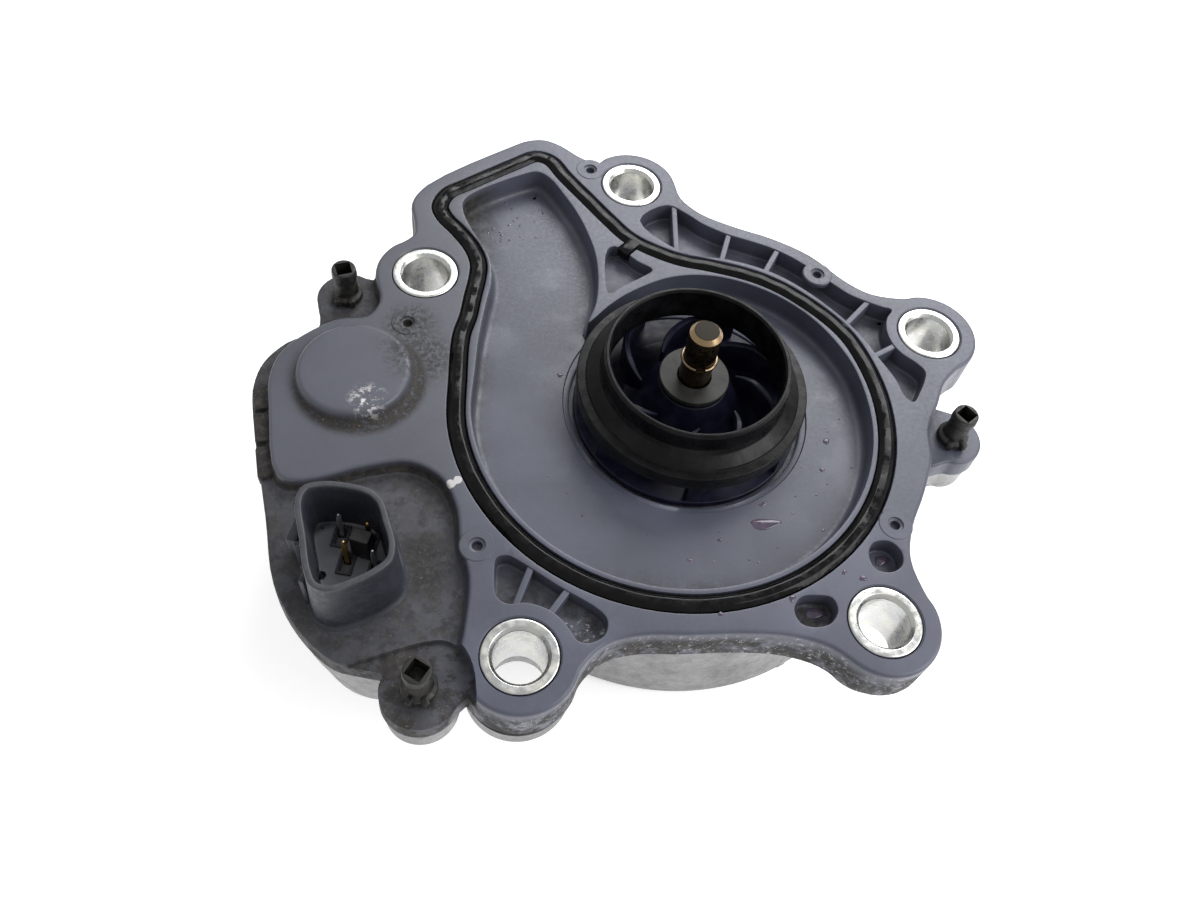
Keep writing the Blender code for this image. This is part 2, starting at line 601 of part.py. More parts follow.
def snap_ring():
    """Open round-wire ring in the shaft's groove."""
    curve = bpy.data.curves.new("snap_ring", "CURVE")
    curve.dimensions = "3D"
    curve.bevel_depth = 0.35 * MM
    curve.bevel_resolution = 2
    curve.use_fill_caps = True
    spline = curve.splines.new("POLY")
    points = arc((0, 0), SHAFT_RADIUS + 0.15, 255, -75, 15)
    spline.points.add(len(points) - 1)
    for point, (x, y) in zip(spline.points, points):
        point.co = (x * MM, y * MM, SNAP_RING_HEIGHT * MM, 1.0)
    ring_object = bpy.data.objects.new("snap_ring", curve)
    curve.materials.append(ground_steel)
    parts.objects.link(ring_object)
    return ring_object


def thrust_washers():
    return [ring("front_thrust_washer", WASHER_RADIUS, SHAFT_RADIUS + 0.2, WASHER_TOP - WASHER_THICK,
                 WASHER_TOP, washer_ceramic),
            ring("rear_thrust_washer", WASHER_RADIUS - 0.5, SHAFT_RADIUS + 0.2, 7.5, 8.4, washer_ceramic)]


def shroud_underside(radius):
    """Height of the impeller shroud's inner face over a radius in the vane passage."""
    reach = (radius - EYE_RADIUS) / (IMPELLER_RADIUS - EYE_RADIUS)
    return FACE + 4.2 - 3.6 * min(1.0, max(0.0, reach)) ** 0.7


def impeller_shroud():
    """Front ring of the impeller: an upright eye rim, a cone and a lip."""
    inner = [(radius, shroud_underside(radius)) for radius in (21.9, 20, 17.8, EYE_RADIUS)]
    return turned("impeller_shroud",
                  [(17.4, RIM_TOP), (17.5, RIM_TOP - 0.2), (17.5, FACE + 5.6), (18.3, FACE + 4.6),
                   (20.2, FACE + 3.4), (IMPELLER_RADIUS, FACE + 3.1), (IMPELLER_RADIUS, FACE + 0.8)]
                  + inner + [(EYE_RADIUS, RIM_TOP - 0.2), (EYE_RADIUS + 0.2, RIM_TOP)],
                  shroud_plastic, closed=True)


def vane(number):
    """One backward-curved vane: an upright strip along a spiral, thickened."""
    steps = 8
    start_angle = math.radians(20 + 360 / VANES * number)
    mesh = bpy.data.meshes.new(f"vane_{number}")
    shape = bmesh.new()
    bmesh.ops.create_grid(shape, x_segments=steps, y_segments=1, size=0.5)
    for vert in shape.verts:
        along = vert.co.x + 0.5
        radius = 9.5 + (IMPELLER_RADIUS - 0.8 - 9.5) * along
        angle = start_angle - math.radians(62) * along
        high = min(FACE + 1.2 + 0.45 * (radius - 9.5), shroud_underside(radius) - 2 * GAP)
        height = VOLUTE_FLOOR - 0.6 if vert.co.y < 0 else high
        vert.co = (radius * math.cos(angle) * MM, radius * math.sin(angle) * MM, height * MM)
    shape.to_mesh(mesh)
    shape.free()
    item = add_object(f"vane_{number}", mesh, None)
    solidify = item.modifiers.new("thickness", "SOLIDIFY")
    solidify.thickness = VANE_THICK * MM
    solidify.offset = 0.0
    return item


def impeller_hub():
    """Back plate, hub and the stem that carries the magnet, with the vanes."""
    bore = 5.7
    hub_top = WASHER_TOP - WASHER_THICK - 0.6
    hub = turned("impeller_hub",
                 [(6.5, hub_top), (7.6, FACE + 1.5), (9.5, FACE - 1.6), (12.5, FACE - 3.9), (16, FACE - 4.9),
                  (IMPELLER_RADIUS, VOLUTE_FLOOR), (IMPELLER_RADIUS, VOLUTE_FLOOR - 1.5),
                  (12, VOLUTE_FLOOR - 1.7), (8.0, VOLUTE_FLOOR - 3.5), (8.0, STACK_LOW), (bore, STACK_LOW),
                  (bore, hub_top)], hub_plastic, segments=36, closed=True)
    combine(hub, "UNION", [vane(number) for number in range(VANES)])
    return hub


def rotor():
    """Pieces that turn together about the Z axis."""
    hub = impeller_hub()
    return [hub, impeller_shroud(),
            ring("rotor_magnet", MAGNET_RADIUS, 10.5, STACK_LOW, STACK_HIGH, ferrite),
            ring("rotor_core", 10.2, 8.3, STACK_LOW, STACK_HIGH, lamination_steel, segments=40),
            ring("bearing_bush", 5.4, SHAFT_RADIUS + 0.06, 8.7, WASHER_TOP - WASHER_THICK - GAP, carbon,
                 segments=32)]


# ---------------------------------------------------------------- dry side: stator
def stator_core():
    """Ring of laminations with teeth; each tooth ends in a shoe round the rotor can."""
    outline = []
    tooth_half = 4.5
    for tooth in range(TEETH):
        middle = 90 - 360 / TEETH * tooth
        for side in (1, -1):
            root = math.degrees(math.asin(tooth_half / 35.5))
            neck = math.degrees(math.asin(tooth_half / 19.0))
            shoe = [arc((0, 0), 35.5, middle + 29, middle + root, 12),
                    [polar(19.0, middle + neck), polar(17.6, middle + 24)]]
            if side == 1:
                outline += shoe[0] + shoe[1]
                outline += arc((0, 0), ROTOR_CAN_RADIUS + 0.4, middle + 24, middle - 24, 12)
            else:
                outline += [polar(17.6, middle - 24), polar(19.0, middle - neck)]
                outline += arc((0, 0), 35.5, middle - root, middle - 29, 12)
    return prism("stator_core", [circle((0, 0), CAN_BORE - GAP, 64), outline], STACK_LOW, STACK_HIGH,
                 lamination_steel)


def stator_coils():
    """A winding round each tooth: a rounded rectangle with a hole, standing across the radius."""
    coils = []
    middle_height = (STACK_LOW + STACK_HIGH) / 2
    hole_x = 4.5 + GAP
    hole_y = (STACK_HIGH - STACK_LOW) / 2 + GAP
    wall = 3.2
    for tooth in range(TEETH):
        outer = rounded_rectangle(hole_x + wall, hole_y + wall, 2.5)
        inner = rounded_rectangle(hole_x, hole_y, 0.6)
        coil = prism(f"coil_{tooth + 1}", [outer, inner], -5.5, 5.5, copper)
        across = Matrix.Rotation(math.radians(90), 4, "X")
        out = Matrix.Translation((0, 28.0 * MM, middle_height * MM))
        coil.matrix_world = Matrix.Rotation(math.radians(-360 / TEETH * tooth), 4, "Z") @ out @ across
        coils.append(coil)
    return coils


# ---------------------------------------------------------------- dry side: driver board
def circuit_board():
    board = prism("circuit_board", bay_hollow_outline(0.8), BOARD_LOW, BOARD_TOP, circuit_green)
    holes = [disc(f"board_hole_{number}", 1.6, 0, FACE, centre=place, segments=16)
             for number, place in enumerate(BOARD_SCREWS, 1)]
    holes += [box(f"board_pin_hole_{number}", (x, y, BOARD_LOW), (PIN_WIDTH + 0.6, PIN_WIDTH + 0.6, 10))
              for number, (x, y) in enumerate(PINS, 1)]
    combine(board, "DIFFERENCE", holes)
    return board


def board_parts():
    base = BOARD_TOP + GAP
    pieces = [turned("filter_capacitor",
                     [(0, DOME_TOP - 2.2), (8.2, DOME_TOP - 2.2), (8.7, DOME_TOP - 2.8), (8.7, base),
                      (0, base)],
                     capacitor_sleeve, DOME_CENTRE, 36),
              ring("filter_choke", 5.0, 2.2, base, SPLIT - 0.8, ferrite, (-56.6, -18.5), 28),
              box("driver_chip", (-65.0, -25.5, base + 0.9), (7, 7, 1.8), part_black, 12)]
    for number, (x, y) in enumerate(((-61.0, -13.0), (-53.6, -6.0), (-61.5, -26.0)), 1):
        pieces.append(box(f"power_transistor_{number}", (x, y, BOARD_LOW - GAP - 1.2), (6.5, 9, 2.4),
                          part_black, 12))
    for number, place in enumerate(BOARD_SCREWS, 1):
        low = BAY_FLOOR + 2.5
        pieces.append(turned(f"board_screw_{number}",
                             [(0, base + 1.6), (1.8, base + 1.6), (2.6, base + 0.8), (2.6, base), (1.0, base),
                              (1.0, low), (0, low)], zinc_steel, place, 20))
    return pieces


def terminal_pins():
    finishes = (tin_plate, gold_plate, gold_plate, tin_plate)
    pins = []
    for number, ((x, y), finish) in enumerate(zip(PINS, finishes), 1):
        low = BOARD_LOW - 1.0
        pins.append(box(f"terminal_pin_{number}", (x, y, (low + PIN_TOP) / 2),
                        (PIN_WIDTH, PIN_WIDTH, PIN_TOP - low), finish))
    return pins


# ---------------------------------------------------------------- assembly
body_frame = empty("pump_body")
rotor_frame = empty("rotor_axis")
fixed = [front_housing(), rear_cover(), rotor_can(), shaft(), snap_ring(), stator_core(), circuit_board()]
fixed += bolt_sleeves() + cover_screws() + gaskets() + thrust_washers()
fixed += stator_coils() + board_parts() + terminal_pins()
for piece in fixed:
    piece.parent = body_frame
for piece in rotor():
    piece.parent = rotor_frame
for item, operation, tools in pending:
    add_boolean(item, operation, tools)
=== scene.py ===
import json
import math
import random

import bmesh
import bpy
import numpy as np
from mathutils import Matrix, Vector
from mathutils.geometry import delaunay_2d_cdt

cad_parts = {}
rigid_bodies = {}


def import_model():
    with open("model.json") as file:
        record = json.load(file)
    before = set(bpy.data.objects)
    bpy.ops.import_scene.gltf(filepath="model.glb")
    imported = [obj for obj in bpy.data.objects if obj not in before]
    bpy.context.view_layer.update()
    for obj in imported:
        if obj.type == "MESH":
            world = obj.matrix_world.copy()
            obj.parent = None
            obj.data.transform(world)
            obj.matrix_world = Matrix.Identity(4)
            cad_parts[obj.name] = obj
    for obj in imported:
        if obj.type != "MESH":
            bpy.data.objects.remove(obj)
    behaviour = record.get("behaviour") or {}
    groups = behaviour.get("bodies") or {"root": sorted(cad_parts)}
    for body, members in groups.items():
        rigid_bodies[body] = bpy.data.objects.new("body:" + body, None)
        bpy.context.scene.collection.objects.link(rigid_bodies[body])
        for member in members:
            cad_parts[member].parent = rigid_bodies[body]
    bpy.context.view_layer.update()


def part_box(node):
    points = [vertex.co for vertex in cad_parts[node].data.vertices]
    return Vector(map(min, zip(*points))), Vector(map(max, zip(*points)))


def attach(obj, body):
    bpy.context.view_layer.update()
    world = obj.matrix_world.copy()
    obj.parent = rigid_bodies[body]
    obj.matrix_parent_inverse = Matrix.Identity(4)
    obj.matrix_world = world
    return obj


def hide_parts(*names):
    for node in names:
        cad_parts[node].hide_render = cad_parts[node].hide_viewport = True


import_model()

MM = 0.001


def node_low(name):
    return [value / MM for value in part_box(name)[0]]


def node_high(name):
    return [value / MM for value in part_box(name)[1]]


def node_centre(name):
    return [(low + high) / 2 for low, high in zip(node_low(name), node_high(name))]


# ---------------------------------------------------------------- sizes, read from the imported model
BOLTS = [tuple(node_centre(f"bolt_sleeve_{i}")[:2]) for i in range(1, 6)]
EARS = [tuple(node_centre(f"cover_screw_{i}")[:2]) for i in range(1, 4)]
PINS = [tuple(node_centre(f"terminal_pin_{i}")[:2]) for i in range(1, 5)]
DOME_CENTRE = tuple(node_centre("filter_capacitor")[:2])
FACE = node_high("bolt_sleeve_1")[2]
SLEEVE_LOW = node_low("bolt_sleeve_1")[2]
SPLIT = node_high("rear_cover")[2] + 0.3
GASKET_TOP = node_high("volute_gasket")[2]
GASKET_LOW = node_low("volute_gasket")[2]
POST_TOP = node_high("cover_screw_1")[2]
PIN_TOP = node_high("terminal_pin_1")[2]
PIN_LOW = node_low("terminal_pin_1")[2]
SHROUD_TOP = node_high("front_housing")[2]
SHAFT_TOP = node_high("shaft")[2]
SHAFT_FOOT = node_low("shaft")[2]
IMPELLER_RADIUS = node_high("impeller_shroud")[0]
RIM_TOP = node_high("impeller_shroud")[2]
WASHER_TOP = node_high("front_thrust_washer")[2]
WASHER_LOW = node_low("front_thrust_washer")[2]
WASHER_RADIUS = node_high("front_thrust_washer")[0]

# ---------------------------------------------------------------- sizes repeated from the model's design
FLANGE_DEPTH = 8.8
LEDGE = FACE - 3.0
VOLUTE_FLOOR = FACE - 5.0
WELL_RADIUS = 22.8
VOLUTE_CENTRE = (-3.1, -3.3)
VOLUTE_RADIUS = 38.3
GASKET_RADIUS = 41.1
BOSS_RADIUS = 9.9
BOSS_FOOT_RADIUS = 8.6
SLEEVE_OUTER = 6.5
SLEEVE_INNER = 4.5
EAR_RADIUS = 6.0
EAR_FOOT = FACE - 13.0
SCREW_RADIUS = 2.0
DOME_RADIUS = 10.8
DOME_TOP = FACE + 2.3
SHROUD_FLOOR = FACE - 1.0
SHROUD_WALL = 1.3
SHAFT_RADIUS = 3.0
EYE_RADIUS = 16.25
CAN_RADIUS = 46.5
CAN_RIM_RADIUS = 45.5
CAN_BORE = 42.5
CAN_FLOOR = 3.0
BAY_FOOT = FACE - 24.0
BAY_FLOOR = BAY_FOOT + 3.0
BAY_INNER_RADIUS = 49.0
SCREW_HOLE = 2.3
STUD_TOP = 24.9
CUTTER_LOW = 20.0
CODING_BLOCK = (-57.0, -36.9)
TAB_PLACE = (-11.2, 36.4)
TAB_TURN = -40.0


# ---------------------------------------------------------------- outlines, all clockwise from above
def polar(radius, degrees):
    angle = math.radians(degrees)
    return radius * math.cos(angle), radius * math.sin(angle)


def arc(centre, radius, start, end, step=15.0):
    """Points of an arc between two angles in degrees; it runs clockwise when end is below start."""
    count = max(2, round(abs(end - start) / step) + 1)
    points = []
    for i in range(count):
        angle = math.radians(start + (end - start) * i / (count - 1))
        points.append((centre[0] + radius * math.cos(angle), centre[1] + radius * math.sin(angle)))
    return points


def circle(centre, radius, count=64):
    return arc(centre, radius, 0.0, -360.0, 360.0 / count)[:-1]


def smooth(points, parts=4):
    """Closed centripetal Catmull-Rom curve through the points."""
    knots = [Vector(p) for p in points]
    count = len(knots)
    result = []
    for i in range(count):
        p0, p1, p2, p3 = (knots[(i + k) % count] for k in (-1, 0, 1, 2))
        t1 = (p1 - p0).length ** 0.5
        t2 = t1 + (p2 - p1).length ** 0.5
        t3 = t2 + (p3 - p2).length ** 0.5
        for j in range(parts):
            t = t1 + (t2 - t1) * j / parts
            a1 = (p0 * (t1 - t) + p1 * t) / t1
            a2 = (p1 * (t2 - t) + p2 * (t - t1)) / (t2 - t1)
            a3 = (p2 * (t3 - t) + p3 * (t - t2)) / (t3 - t2)
            b1 = (a1 * (t2 - t) + a2 * t) / t2
            b2 = (a2 * (t3 - t) + a3 * (t - t1)) / (t3 - t1)
            result.append(tuple((b1 * (t2 - t) + b2 * (t - t1)) / (t2 - t1)))
    return result


def offset(points, distance, limit=None):
    """The closed outline moved outwards, or inwards when distance is negative, up to a limit per point."""
    count = len(points)
    result = []
    for i in range(count):
        here = Vector(points[i])
        first = (here - Vector(points[i - 1])).normalized()
        second = (Vector(points[(i + 1) % count]) - here).normalized()
        normal = Vector((-first.y - second.y, first.x + second.x)).normalized()
        stretch = max(0.7, normal.dot(Vector((-first.y, first.x))))
        reach = distance / stretch
        if limit is not None:
            reach = max(reach, -limit(here))
        result.append(tuple(here + normal * reach))
    return result


def flange_outline():
    b1, b2, b3, b4, b5 = BOLTS
    return smooth(
        arc(b1, BOSS_RADIUS, 200, 120)
        + [(-55.9, 36.2), (-56.2, 40), (-57.2, 45), (-54.6, 50.8), (-37.5, 64.8), (-33.6, 67.3)]
        + [(-29.8, 68), (-26, 66.5), (-21.6, 63.2)]
        + arc(b2, BOSS_RADIUS, 140, 12)
        + [(0.7, 52.6), (4.8, 48.3), (12, 45), (20, 42.3), (28, 38), (35, 31.2), (40, 28.2)]
        + arc(b3, BOSS_RADIUS, 112, -62)
        + [(51.8, 5.8), (49.4, 0.5), (46.4, -6), (45.9, -12), (43, -20), (39.5, -27.5), (38.1, -34)]
        + arc(b4, BOSS_RADIUS, 33, -122)
        + [(21.5, -51.2), (15, -49.4), (7, -49.2), (-3, -49.9), (-10, -50.2), (-16, -52), (-20, -56)]
        + arc(b5, BOSS_RADIUS, -26, -172)
        + [(-39.4, -50), (-39.3, -41), (-41.2, -35), (-42.2, -28.4), (-45.2, -22.4), (-51, -19.3)]
        + [(-58, -20.4), (-69, -24.2), (-73.4, -23.4), (-77.4, -9), (-78.5, -2), (-77.2, 4)]
        + [(-72.4, 9.4), (-67.5, 12.6), (-62.6, 13.6), (-60.7, 17.6)])


def bay_outline():
    return smooth(
        arc(EARS[0], EAR_RADIUS, 205, 60)
        + [(-58, 24.3), (-50, 16), (-44, 0), (-36, -30), (-34, -48), (-36, -58)]
        + arc(EARS[2], EAR_RADIUS + 0.5, -25, -200)
        + [(-54.6, -56.6), (-60, -55.4), (-66.4, -50), (-71.4, -42.2), (-74.8, -30), (-80.6, -9.5)]
        + [(-81.8, -2.5), (-80.9, 3.2), (-77.4, 8.2), (-72.2, 11.8)])


def right_ear_outline(radius):
    return smooth(arc(EARS[1], radius, 75, -105) + [(46, -12.5), (42, -11), (42, 0), (46, 2)])


def cover_outline():
    return smooth(
        arc(EARS[0], EAR_RADIUS - 0.3, 205, 60)
        + [(-61.8, 19.5), (-60.2, 15.6), (-55, 13.8), (-46, 12.8), (-38, 8), (-30, -12), (-31, -30)]
        + [(-37.5, -38.6), (-40.9, -44), (-41.6, -50), (-41.2, -54.6)]
        + arc(EARS[2], EAR_RADIUS + 0.2, 0, -200)
        + [(-54.2, -56.2), (-60, -54.9), (-66, -49.6), (-70.9, -42), (-74.3, -30), (-80.1, -9.4)]
        + [(-81.3, -2.5), (-80.4, 3), (-77, 7.8), (-72.2, 11.2)])


def pan_outline():
    return smooth(
        [(-63, 12.6), (-55, 13.2), (-46, 12.2), (-38, 8), (-30, -12), (-31, -30), (-37.5, -38.2)]
        + [(-41.2, -44), (-42.2, -50), (-45, -54.2), (-52, -55.2), (-59, -53.8), (-65, -48.8)]
        + [(-69.8, -41.6), (-73.2, -30), (-79, -9.6), (-80.2, -2.5), (-79.2, 2.4), (-76, 6.8), (-70.6, 10.6)])


def bay_hollow_outline():
    return smooth(
        arc((0, 0), BAY_INNER_RADIUS, 170, 220)
        + [(-41.4, -38.5), (-43.6, -44), (-45, -49.6), (-50, -51.8), (-58, -50.6), (-62.6, -46.6)]
        + [(-66.6, -39.6), (-69.6, -29.4), (-75.6, -9.2), (-76.8, -3), (-76, 2), (-73.4, 5.4)]
        + [(-69, 8.2), (-62, 9.8), (-53, 10.2)])


def shroud_outline():
    return smooth(
        [(-63.5, -29.9), (-59.5, -30), (-55.6, -31), (-53.5, -32.9), (-52, -36.5), (-50.6, -40.6)]
        + [(-50.8, -43.6), (-53, -46), (-56.6, -48.2), (-60, -49.4), (-62.6, -48.6), (-64, -46.2)]
        + [(-65.6, -40.5), (-67.3, -33.6), (-66.4, -30.9)], 6)


def volute_outline():
    return smooth(
        [(-19.6, 15.2), (-15.6, 19.8), (-12, 23.2), (-8, 26), (-3, 28.6), (2, 29.8), (7, 29.9), (12, 28.9)]
        + [(17, 27), (22, 24), (27, 19.4), (31, 13.6), (33.8, 7)]
        + arc(VOLUTE_CENTRE, VOLUTE_RADIUS, -2, -188, 15)
        + [(-40.8, 10), (-40, 18), (-39.2, 25), (-40, 31), (-43.6, 37.6), (-46, 42.8), (-46.4, 46.4)]
        + [(-44.4, 49.2), (-34.4, 55.9), (-31, 57.2), (-28.4, 55.6), (-25, 50.5), (-22, 45), (-20, 40)]
        + [(-18.4, 34.5), (-17.7, 28), (-18.1, 20.5)])


def groove_centreline():
    return smooth(
        [(-31.6, 62.1), (-28.4, 61.2), (-25, 56.4), (-20, 50), (-15.2, 43.9), (-10.9, 39.1)]
        + [(-5, 35.7), (0, 33.9), (5, 33.1), (11.7, 31.7), (16.3, 30.2), (21.1, 27.7), (25, 24.8)]
        + [(28.7, 21.5), (32.4, 17.2)]
        + arc(VOLUTE_CENTRE, GASKET_RADIUS, 22, -184, 15)
        + [(-44.2, 10), (-43.2, 15), (-42.7, 20), (-42.1, 25), (-42.1, 29), (-43.5, 33), (-46.6, 37.5)]
        + [(-50, 41.5), (-51.2, 44.6), (-49.8, 48.6), (-46, 51.6), (-36, 59.2)])


def long_pocket_outline():
    return smooth(
        [(-8.6, 44.6), (-2.5, 49.8), (2, 47.3), (5, 44.9), (10, 42.4), (15, 40.8), (20, 39), (25, 36)]
        + [(32, 30), (35, 27.5), (38, 26), (41.6, 24.6)]
        + arc(BOLTS[2], 9.0, 142, 222)
        + [(46.6, 10.2), (48, 8.2), (47.5, 6), (46, 3), (44.4, 0.6), (43, 1.6), (41.6, 6), (39, 11)]
        + [(37, 15), (34, 19.5), (30, 24), (25, 28.5), (20, 31.8), (15, 33.8), (10, 35), (0, 36.5)])


def bolt_pocket_outline():
    return smooth(
        [(-35, -40), (-34.7, -37.4), (-33, -36.9), (-31.5, -37.5), (-24.4, -42), (-17, -46.5)]
        + [(-16, -48.2), (-16.6, -50.6), (-19.3, -52), (-21, -51.5)]
        + arc(BOLTS[4], 9.3, 28, 105)
        + [(-34.4, -44.4)])


def tongue_pocket_outline():
    return smooth([(-15.6, 35.4), (-14, 36.4), (-9.4, 32.6), (-6.4, 30.6), (-8.4, 28.6),
                   (-12.4, 25.8), (-15.4, 23.4), (-16, 26)])


# ---------------------------------------------------------------- profiles
def filleted(profile, closed=False):
    """Round each corner of a profile that carries a radius as its third value."""
    count = len(profile)
    result = []
    for i, point in enumerate(profile):
        at_end = not closed and i in (0, count - 1)
        if len(point) < 3 or at_end:
            result.append(tuple(point[:2]))
            continue
        here = Vector(point[:2])
        before = Vector(profile[i - 1][:2]) - here
        after = Vector(profile[(i + 1) % count][:2]) - here
        half = before.angle(after) / 2
        reach = min(point[2] / math.tan(half), 0.48 * before.length, 0.48 * after.length)
        start = here + before.normalized() * reach
        end = here + after.normalized() * reach
        for j in range(5):
            t = j / 4
            result.append(tuple(start * (1 - t) ** 2 + here * 2 * t * (1 - t) + end * t ** 2))
    return result


# ---------------------------------------------------------------- mesh helpers, from millimetres to metres
def finish_mesh(name, shape, finish=None, sharp=38.0):
    bmesh.ops.recalc_face_normals(shape, faces=shape.faces)
    mesh = bpy.data.meshes.new(name)
    shape.to_mesh(mesh)
    shape.free()
    item = bpy.data.objects.new(name, mesh)
    bpy.context.scene.collection.objects.link(item)
    dress(item, finish, sharp)
    return item


def dress(item, finish, sharp=38.0):
    item.data.shade_smooth()
    item.data.set_sharp_from_angle(angle=math.radians(sharp))
    if finish is not None:
        item.data.materials.clear()
        item.data.materials.append(finish)


def loop_of(shape, points, height):
    return [shape.verts.new((x * MM, y * MM, height * MM)) for x, y in points]


def skin(shape, loops, closed=False):
    """Four-sided faces between each loop and the next, and back to the first loop when closed."""
    for upper, lower in zip(loops, loops[1:] + (loops[:1] if closed else [])):
        for i in range(len(upper)):
            shape.faces.new((upper[i - 1], upper[i], lower[i], lower[i - 1]))


def wall(shape, outline, profile, limit=None):
    """Faces along an outline through a profile of (offset, height); it returns the first and last loop."""
    loops = [loop_of(shape, offset(outline, distance, limit), height) for distance, height in profile]
    skin(shape, loops)
    return loops[0], loops[-1]


def fill(shape, *loops):
    """A flat face inside the first loop and outside the others."""
    verts = [vert for loop in loops for vert in loop]
    flat = np.array([vert.co.xy / MM for vert in verts])
    edges = []
    start = 0
    for loop in loops:
        edges += [(start + i, start + (i + 1) % len(loop)) for i in range(len(loop))]
        start += len(loop)
    found, _, faces, originals, _, _ = delaunay_2d_cdt([Vector(place) for place in flat], edges, [], 1, 1e-5)
    height = verts[0].co.z
    made = [verts[origin[0]] if origin else shape.verts.new((place.x * MM, place.y * MM, height))
            for place, origin in zip(found, originals)]
    first, second = flat[[a for a, _ in edges]], flat[[b for _, b in edges]]
    for face in faces:
        middle = np.mean([found[i] for i in face], axis=0)
        spans = (first[:, 1] > middle[1]) != (second[:, 1] > middle[1])
        start_points, end_points = first[spans], second[spans]
        share = (middle[1] - start_points[:, 1]) / (end_points[:, 1] - start_points[:, 1])
        crossings = start_points[:, 0] + share * (end_points[:, 0] - start_points[:, 0])
        corners = [made[i] for i in face]
        if np.count_nonzero(crossings > middle[0]) % 2 == 1 and len(set(corners)) == 3:
            shape.faces.new(corners)


def swept(name, outline, profile):
    """A closed body: the outline through a profile from top to bottom, with both ends filled."""
    shape = bmesh.new()
    top, bottom = wall(shape, outline, profile)
    fill(shape, top)
    fill(shape, bottom)
    return finish_mesh(name, shape)


def turned(name, profile, finish=None, centre=(0, 0), segments=72, closed=False, sharp=38.0):
    """A profile of (radius, height) turned about an upright axis; open profiles end on the axis."""
    shape = bmesh.new()
    rings = []
    for radius, height in profile:
        if radius < 1e-6:
            rings.append([shape.verts.new((centre[0] * MM, centre[1] * MM, height * MM))])
        else:
            rings.append(loop_of(shape, circle(centre, radius, segments), height))
    pairs = list(zip(rings, rings[1:]))
    if closed:
        pairs.append((rings[-1], rings[0]))
    for upper, lower in pairs:
        for i in range(segments):
            corners = [upper[i - 1 if len(upper) > 1 else 0], upper[i if len(upper) > 1 else 0],
                       lower[i if len(lower) > 1 else 0], lower[i - 1 if len(lower) > 1 else 0]]
            unique = [v for k, v in enumerate(corners) if v not in corners[:k]]
            if len(unique) > 2:
                shape.faces.new(unique)
    return finish_mesh(name, shape, finish, sharp)


def drill(name, centre, radius, low, high=FACE, segments=72):
    """An upright round cutter."""
    return turned(name, [(0, high), (radius, high), (radius, low), (0, low)], centre=centre,
                  segments=segments)


def box(name, centre, size, turn=0.0, edge=0.0):
    """A box turned about Z, with rounded edges where edge is given."""
    shape = bmesh.new()
    bmesh.ops.create_cube(shape, size=1.0)
    bmesh.ops.scale(shape, verts=shape.verts, vec=[value * MM for value in size])
    if edge:
        bmesh.ops.bevel(shape, geom=shape.edges[:], offset=edge * MM, segments=2, affect="EDGES", profile=0.5)
    bmesh.ops.rotate(shape, verts=shape.verts, matrix=Matrix.Rotation(math.radians(turn), 3, "Z"))
    bmesh.ops.translate(shape, verts=shape.verts, vec=[value * MM for value in centre])
    return finish_mesh(name, shape)


def rib(name, start, end, low, high, width=1.2):
    along = Vector(end) - Vector(start)
    middle = (Vector(start) + Vector(end)) / 2
    turn = math.degrees(math.atan2(along.y, along.x))
    return box(name, (middle.x, middle.y, (low + high) / 2), (along.length, width, high - low), turn, 0.25)


def combined(item, operation, tools):
    """The item joined with, or cut by, a set of closed bodies, which are used up."""
    group = bpy.data.collections.new(item.name + "_tools")
    bpy.context.scene.collection.children.link(group)
    for tool in tools:
        group.objects.link(tool)
    boolean = item.modifiers.new("combine", "BOOLEAN")
    boolean.operation = operation
    boolean.solver = "EXACT"
    boolean.operand_type = "COLLECTION"
    boolean.collection = group
    bpy.context.view_layer.update()
    ready = item.evaluated_get(bpy.context.evaluated_depsgraph_get())
    mesh = bpy.data.meshes.new_from_object(ready)
    item.modifiers.clear()
    finish = item.data.materials[0] if item.data.materials else None
    item.data = mesh
    for tool in list(group.objects):
        bpy.data.objects.remove(tool, do_unlink=True)
    bpy.data.collections.remove(group)
    dress(item, finish)
    return item


def fine_normals(item):
    weighted = item.modifiers.new("fine_normals", "WEIGHTED_NORMAL")
    weighted.keep_sharp = True
    weighted.weight = 80


